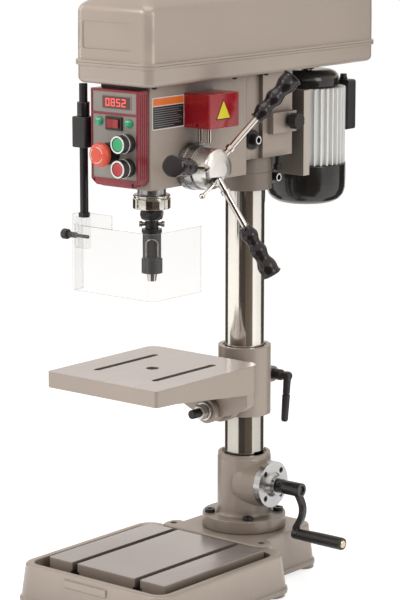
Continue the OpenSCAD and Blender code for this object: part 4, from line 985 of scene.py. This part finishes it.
# ---- bright rims of the clamp screws' sockets
screw = box("lock_collar_bolt")
collar_face = (screw[3], (screw[1] + screw[4]) / 2, (screw[2] + screw[5]) / 2)
head_face = (box("head_clamp_bolts")[3], -41, 776)
for name, body, face, r in (("collar_screw_rim", "column", collar_face, 5.0),
                            ("head_screw_rim", "head", head_face, 5.2)):
    lathe(name, [(r, -0.5), (r, 0.12), (r + 1.9, 0.12), (r + 1.9, -0.5)], at(*face, (1, 0, 0)), body,
          m_silver, seg=40, closed=True)

# ---- tilt bolt
tilt_place = at(0, 0, 306.0, (0, -1, 0))
stud = lathe("tilt_stud", soften([(0, 50), (8, 50), (8, 145.9), (0, 145.9)], 1.6, 3), tilt_place, "arm",
             m_black, seg=40)
prof = [(8.0, 108.3), (16, 108.3), (16, 113.6), (8.0, 113.6)]
lathe("tilt_washer", soften(prof, 0.6, 3, closed=True), tilt_place, "arm", m_hub, seg=56,
      closed=True)
prof = [(8.0, 113.7), (12.6, 113.7), (13.5, 114.8), (13.5, 126.4), (12.4, 127.6), (8.0, 127.6)]
lathe("tilt_nut", soften(prof, 0.4, 2, closed=True), tilt_place, "arm", m_hub, seg=6, closed=True)
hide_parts("tilt_bolt")

# ---- table arm lever
lever_y, lever_z = 55.0, 347.0
lever_place = at(0, lever_y, lever_z, (1, 0, 0))
bm = bmesh.new()
prof = [(0, 22.4), (9.4, 22.4), (9.8, 27), (9.8, 40), (7.6, 44), (7.6, 58), (6, 60), (0, 60)]
lathe("", soften(prof, 1.2, 4), lever_place, seg=40, bm=bm)
drops = (-7.4, -6, 0, 8, 22, 31.5, 32.5, 33.5, 34.5, 80, 82.6)
pts = [(53 - 0.07 * t, lever_y, lever_z - t) for t in drops]
sweep("", pts, [4.5, 7.2, 7.6, 6.8, 6.4, 6.4, 5.2, 5.2, 7.0, 6.2, 4.9], seg=28, bm=bm)
lathe("", [(0, -30.3), (6, -30.3), (6, 23), (0, 23)], lever_place, seg=32, bm=bm)
prof = [(6.02, -30.2), (11, -30.2), (11, -22.4), (6.02, -22.4)]
lathe("", soften(prof, 0.7, 2, closed=True), lever_place, seg=6, bm=bm, closed=True)
lever_body = finish_mesh(bm, "arm_lever_body", "arm_lever", m_plastic)
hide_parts("arm_lever")

# ---- materials on the carried-over nodes
m_table = two_faced("table_paint", box("table")[5], PAINT)
use = {"table": m_table, "table_arm": m_cast, "head_casting": m_head, "lock_collar": m_head,
       "motor_plate": m_cream, "column": m_column, "crank_flange": m_steel, "feed_hub": m_hub,
       "feed_rods": m_chrome, "depth_ring": m_steel, "ring_lock_lever": m_chrome, "plunger_a": m_chrome,
       "plunger_b": m_chrome, "crank_shaft": m_steel, "lift_screw": m_steel, "quill": m_steel,
       "spindle": m_steel, "feed_shaft": m_steel, "lid_hinge": m_steel, "motor_shaft": m_steel,
       "table_bush": m_steel, "chuck_jaws": m_chrome, "seat_screws": m_black, "lock_collar_bolt": m_black,
       "head_clamp_bolts": m_black, "spindle_nut": m_black, "chuck_body": m_black,
       "spring_cap": m_blackpaint, "lift_nut": m_bronze, "tension_knob": m_plastic,
       "switch_bezels": m_plastic, "v_belt": m_rubber, "motor_body": m_fins, "motor_pulley": m_alloy,
       "spindle_pulley": m_alloy, "rocker": m_red, "pilot_lamps": m_lens, "control_panel": m_panel,
       "guard_shield": m_clear}
for name, mat in use.items():
    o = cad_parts[name]
    for k in range(len(o.material_slots)):
        o.material_slots[k].material = mat
    if not o.material_slots:
        o.data.materials.append(mat)

# ---- stage
bm = bmesh.new()
ring = [(-6.0, -6.0), (6.0, -6.0), (6.0, 6.0), (-6.0, 6.0)]
bm.faces.new([bm.verts.new((x, y, -0.0004)) for x, y in ring])
me = bpy.data.meshes.new("floor")
bm.to_mesh(me)
bm.free()
floor = bpy.data.objects.new("floor", me)
scene.collection.objects.link(floor)
floor_paint = surface("floor_pale", (0.62, 0.62, 0.62), 0.6, 0.0, 0.01, 0.04, 2.0, 60.0, 0.02, 0.0002,
                      Emission_Color=(1.0, 1.0, 1.0, 1), Emission_Strength=0.74)
me.materials.append(floor_paint)

world = bpy.data.worlds.new("studio")
scene.world = world
world.use_nodes = True
world_tree = world.node_tree
bg = world_tree.nodes["Background"]
bg.inputs["Color"].default_value = (1.0, 0.94, 0.87, 1)
seen = world_tree.nodes.new("ShaderNodeBackground")
seen.inputs["Color"].default_value = (1.0, 1.0, 1.0, 1)
seen.inputs["Strength"].default_value = 1.0
pick = world_tree.nodes.new("ShaderNodeMixShader")
path = world_tree.nodes.new("ShaderNodeLightPath")
polish = world_tree.nodes.new("ShaderNodeMapRange")
polish.inputs["To Min"].default_value = 0.30
polish.inputs["To Max"].default_value = 0.95
world_tree.links.new(path.outputs["Is Glossy Ray"], polish.inputs["Value"])
world_tree.links.new(polish.outputs["Result"], bg.inputs["Strength"])
world_tree.links.new(path.outputs["Is Camera Ray"], pick.inputs["Fac"])
world_tree.links.new(bg.outputs["Background"], pick.inputs[1])
world_tree.links.new(seen.outputs["Background"], pick.inputs[2])
world_tree.links.new(pick.outputs["Shader"], world_tree.nodes["World Output"].inputs["Surface"])


def area(name, loc, target, size, power, colour=(1, 1, 1)):
    d = bpy.data.lights.new(name, "AREA")
    d.shape = "RECTANGLE"
    d.size, d.size_y = size
    d.energy = power
    d.color = colour
    o = bpy.data.objects.new(name, d)
    o.location = loc
    o.rotation_euler = (Vector(target) - Vector(loc)).to_track_quat("-Z", "Y").to_euler()
    scene.collection.objects.link(o)


area("key", (-1.3, -3.3, 2.9), (0, -0.1, 0.5), (1.7, 1.7), 52, (1.0, 0.985, 0.99))
area("side", (3.4, -0.4, 1.8), (0, 0, 0.6), (1.2, 2.0), 26)
area("left", (-3.0, -1.2, 1.8), (0, 0, 0.6), (1.0, 2.2), 16)
area("top", (0.2, -0.4, 3.4), (0, 0, 0), (2.0, 2.0), 24)

CAMERA_SIDE = -51.4


def card(name, a0, a1, r0, r1, z0, z1, mat):
    """A dark card that only reflections see; angles (degrees) are measured from the camera's side."""
    bm = bmesh.new()
    n = max(2, int((a1 - a0) / 6))
    rows = []
    for k in range(n + 1):
        a = radians(CAMERA_SIDE + a0 + (a1 - a0) * k / n)
        rows.append([bm.verts.new((r * cos(a), r * sin(a), z)) for r, z in ((r0, z0), (r1, z1))])
    for a, b in zip(rows, rows[1:]):
        bm.faces.new((a[0], b[0], b[1], a[1]))
    me = bpy.data.meshes.new(name)
    bm.to_mesh(me)
    bm.free()
    o = bpy.data.objects.new(name, me)
    scene.collection.objects.link(o)
    me.materials.append(mat)
    o.visible_camera = False
    o.visible_shadow = False
    o.visible_diffuse = False
    o.visible_transmission = False


CARD_NEAR, CARD_FAR, CARD_TOP = 0.55, 5.0, 1.3
m_card = surface("dark_card", (0.030, 0.022, 0.015), 0.8, 0.0, 0.05, 0.05, 2.0, 20.0, 0.02, 0.0002)
m_card_mid = surface("brown_card", (0.13, 0.10, 0.075), 0.8, 0.0, 0.05, 0.05, 2.0, 20.0, 0.02, 0.0002)
for k, (a0, a1, mat) in enumerate(((-34, 3, m_card), (3, 46, m_card_mid), (-150, -112, m_card),
                                   (112, 150, m_card))):
    card("card_floor_%d" % k, a0, a1, CARD_NEAR, CARD_FAR, 0.001, 0.001, mat)
    card("card_wall_%d" % k, a0, a1, CARD_FAR, CARD_FAR, 0.0, CARD_TOP, mat)
scene.view_settings.view_transform = "Standard"
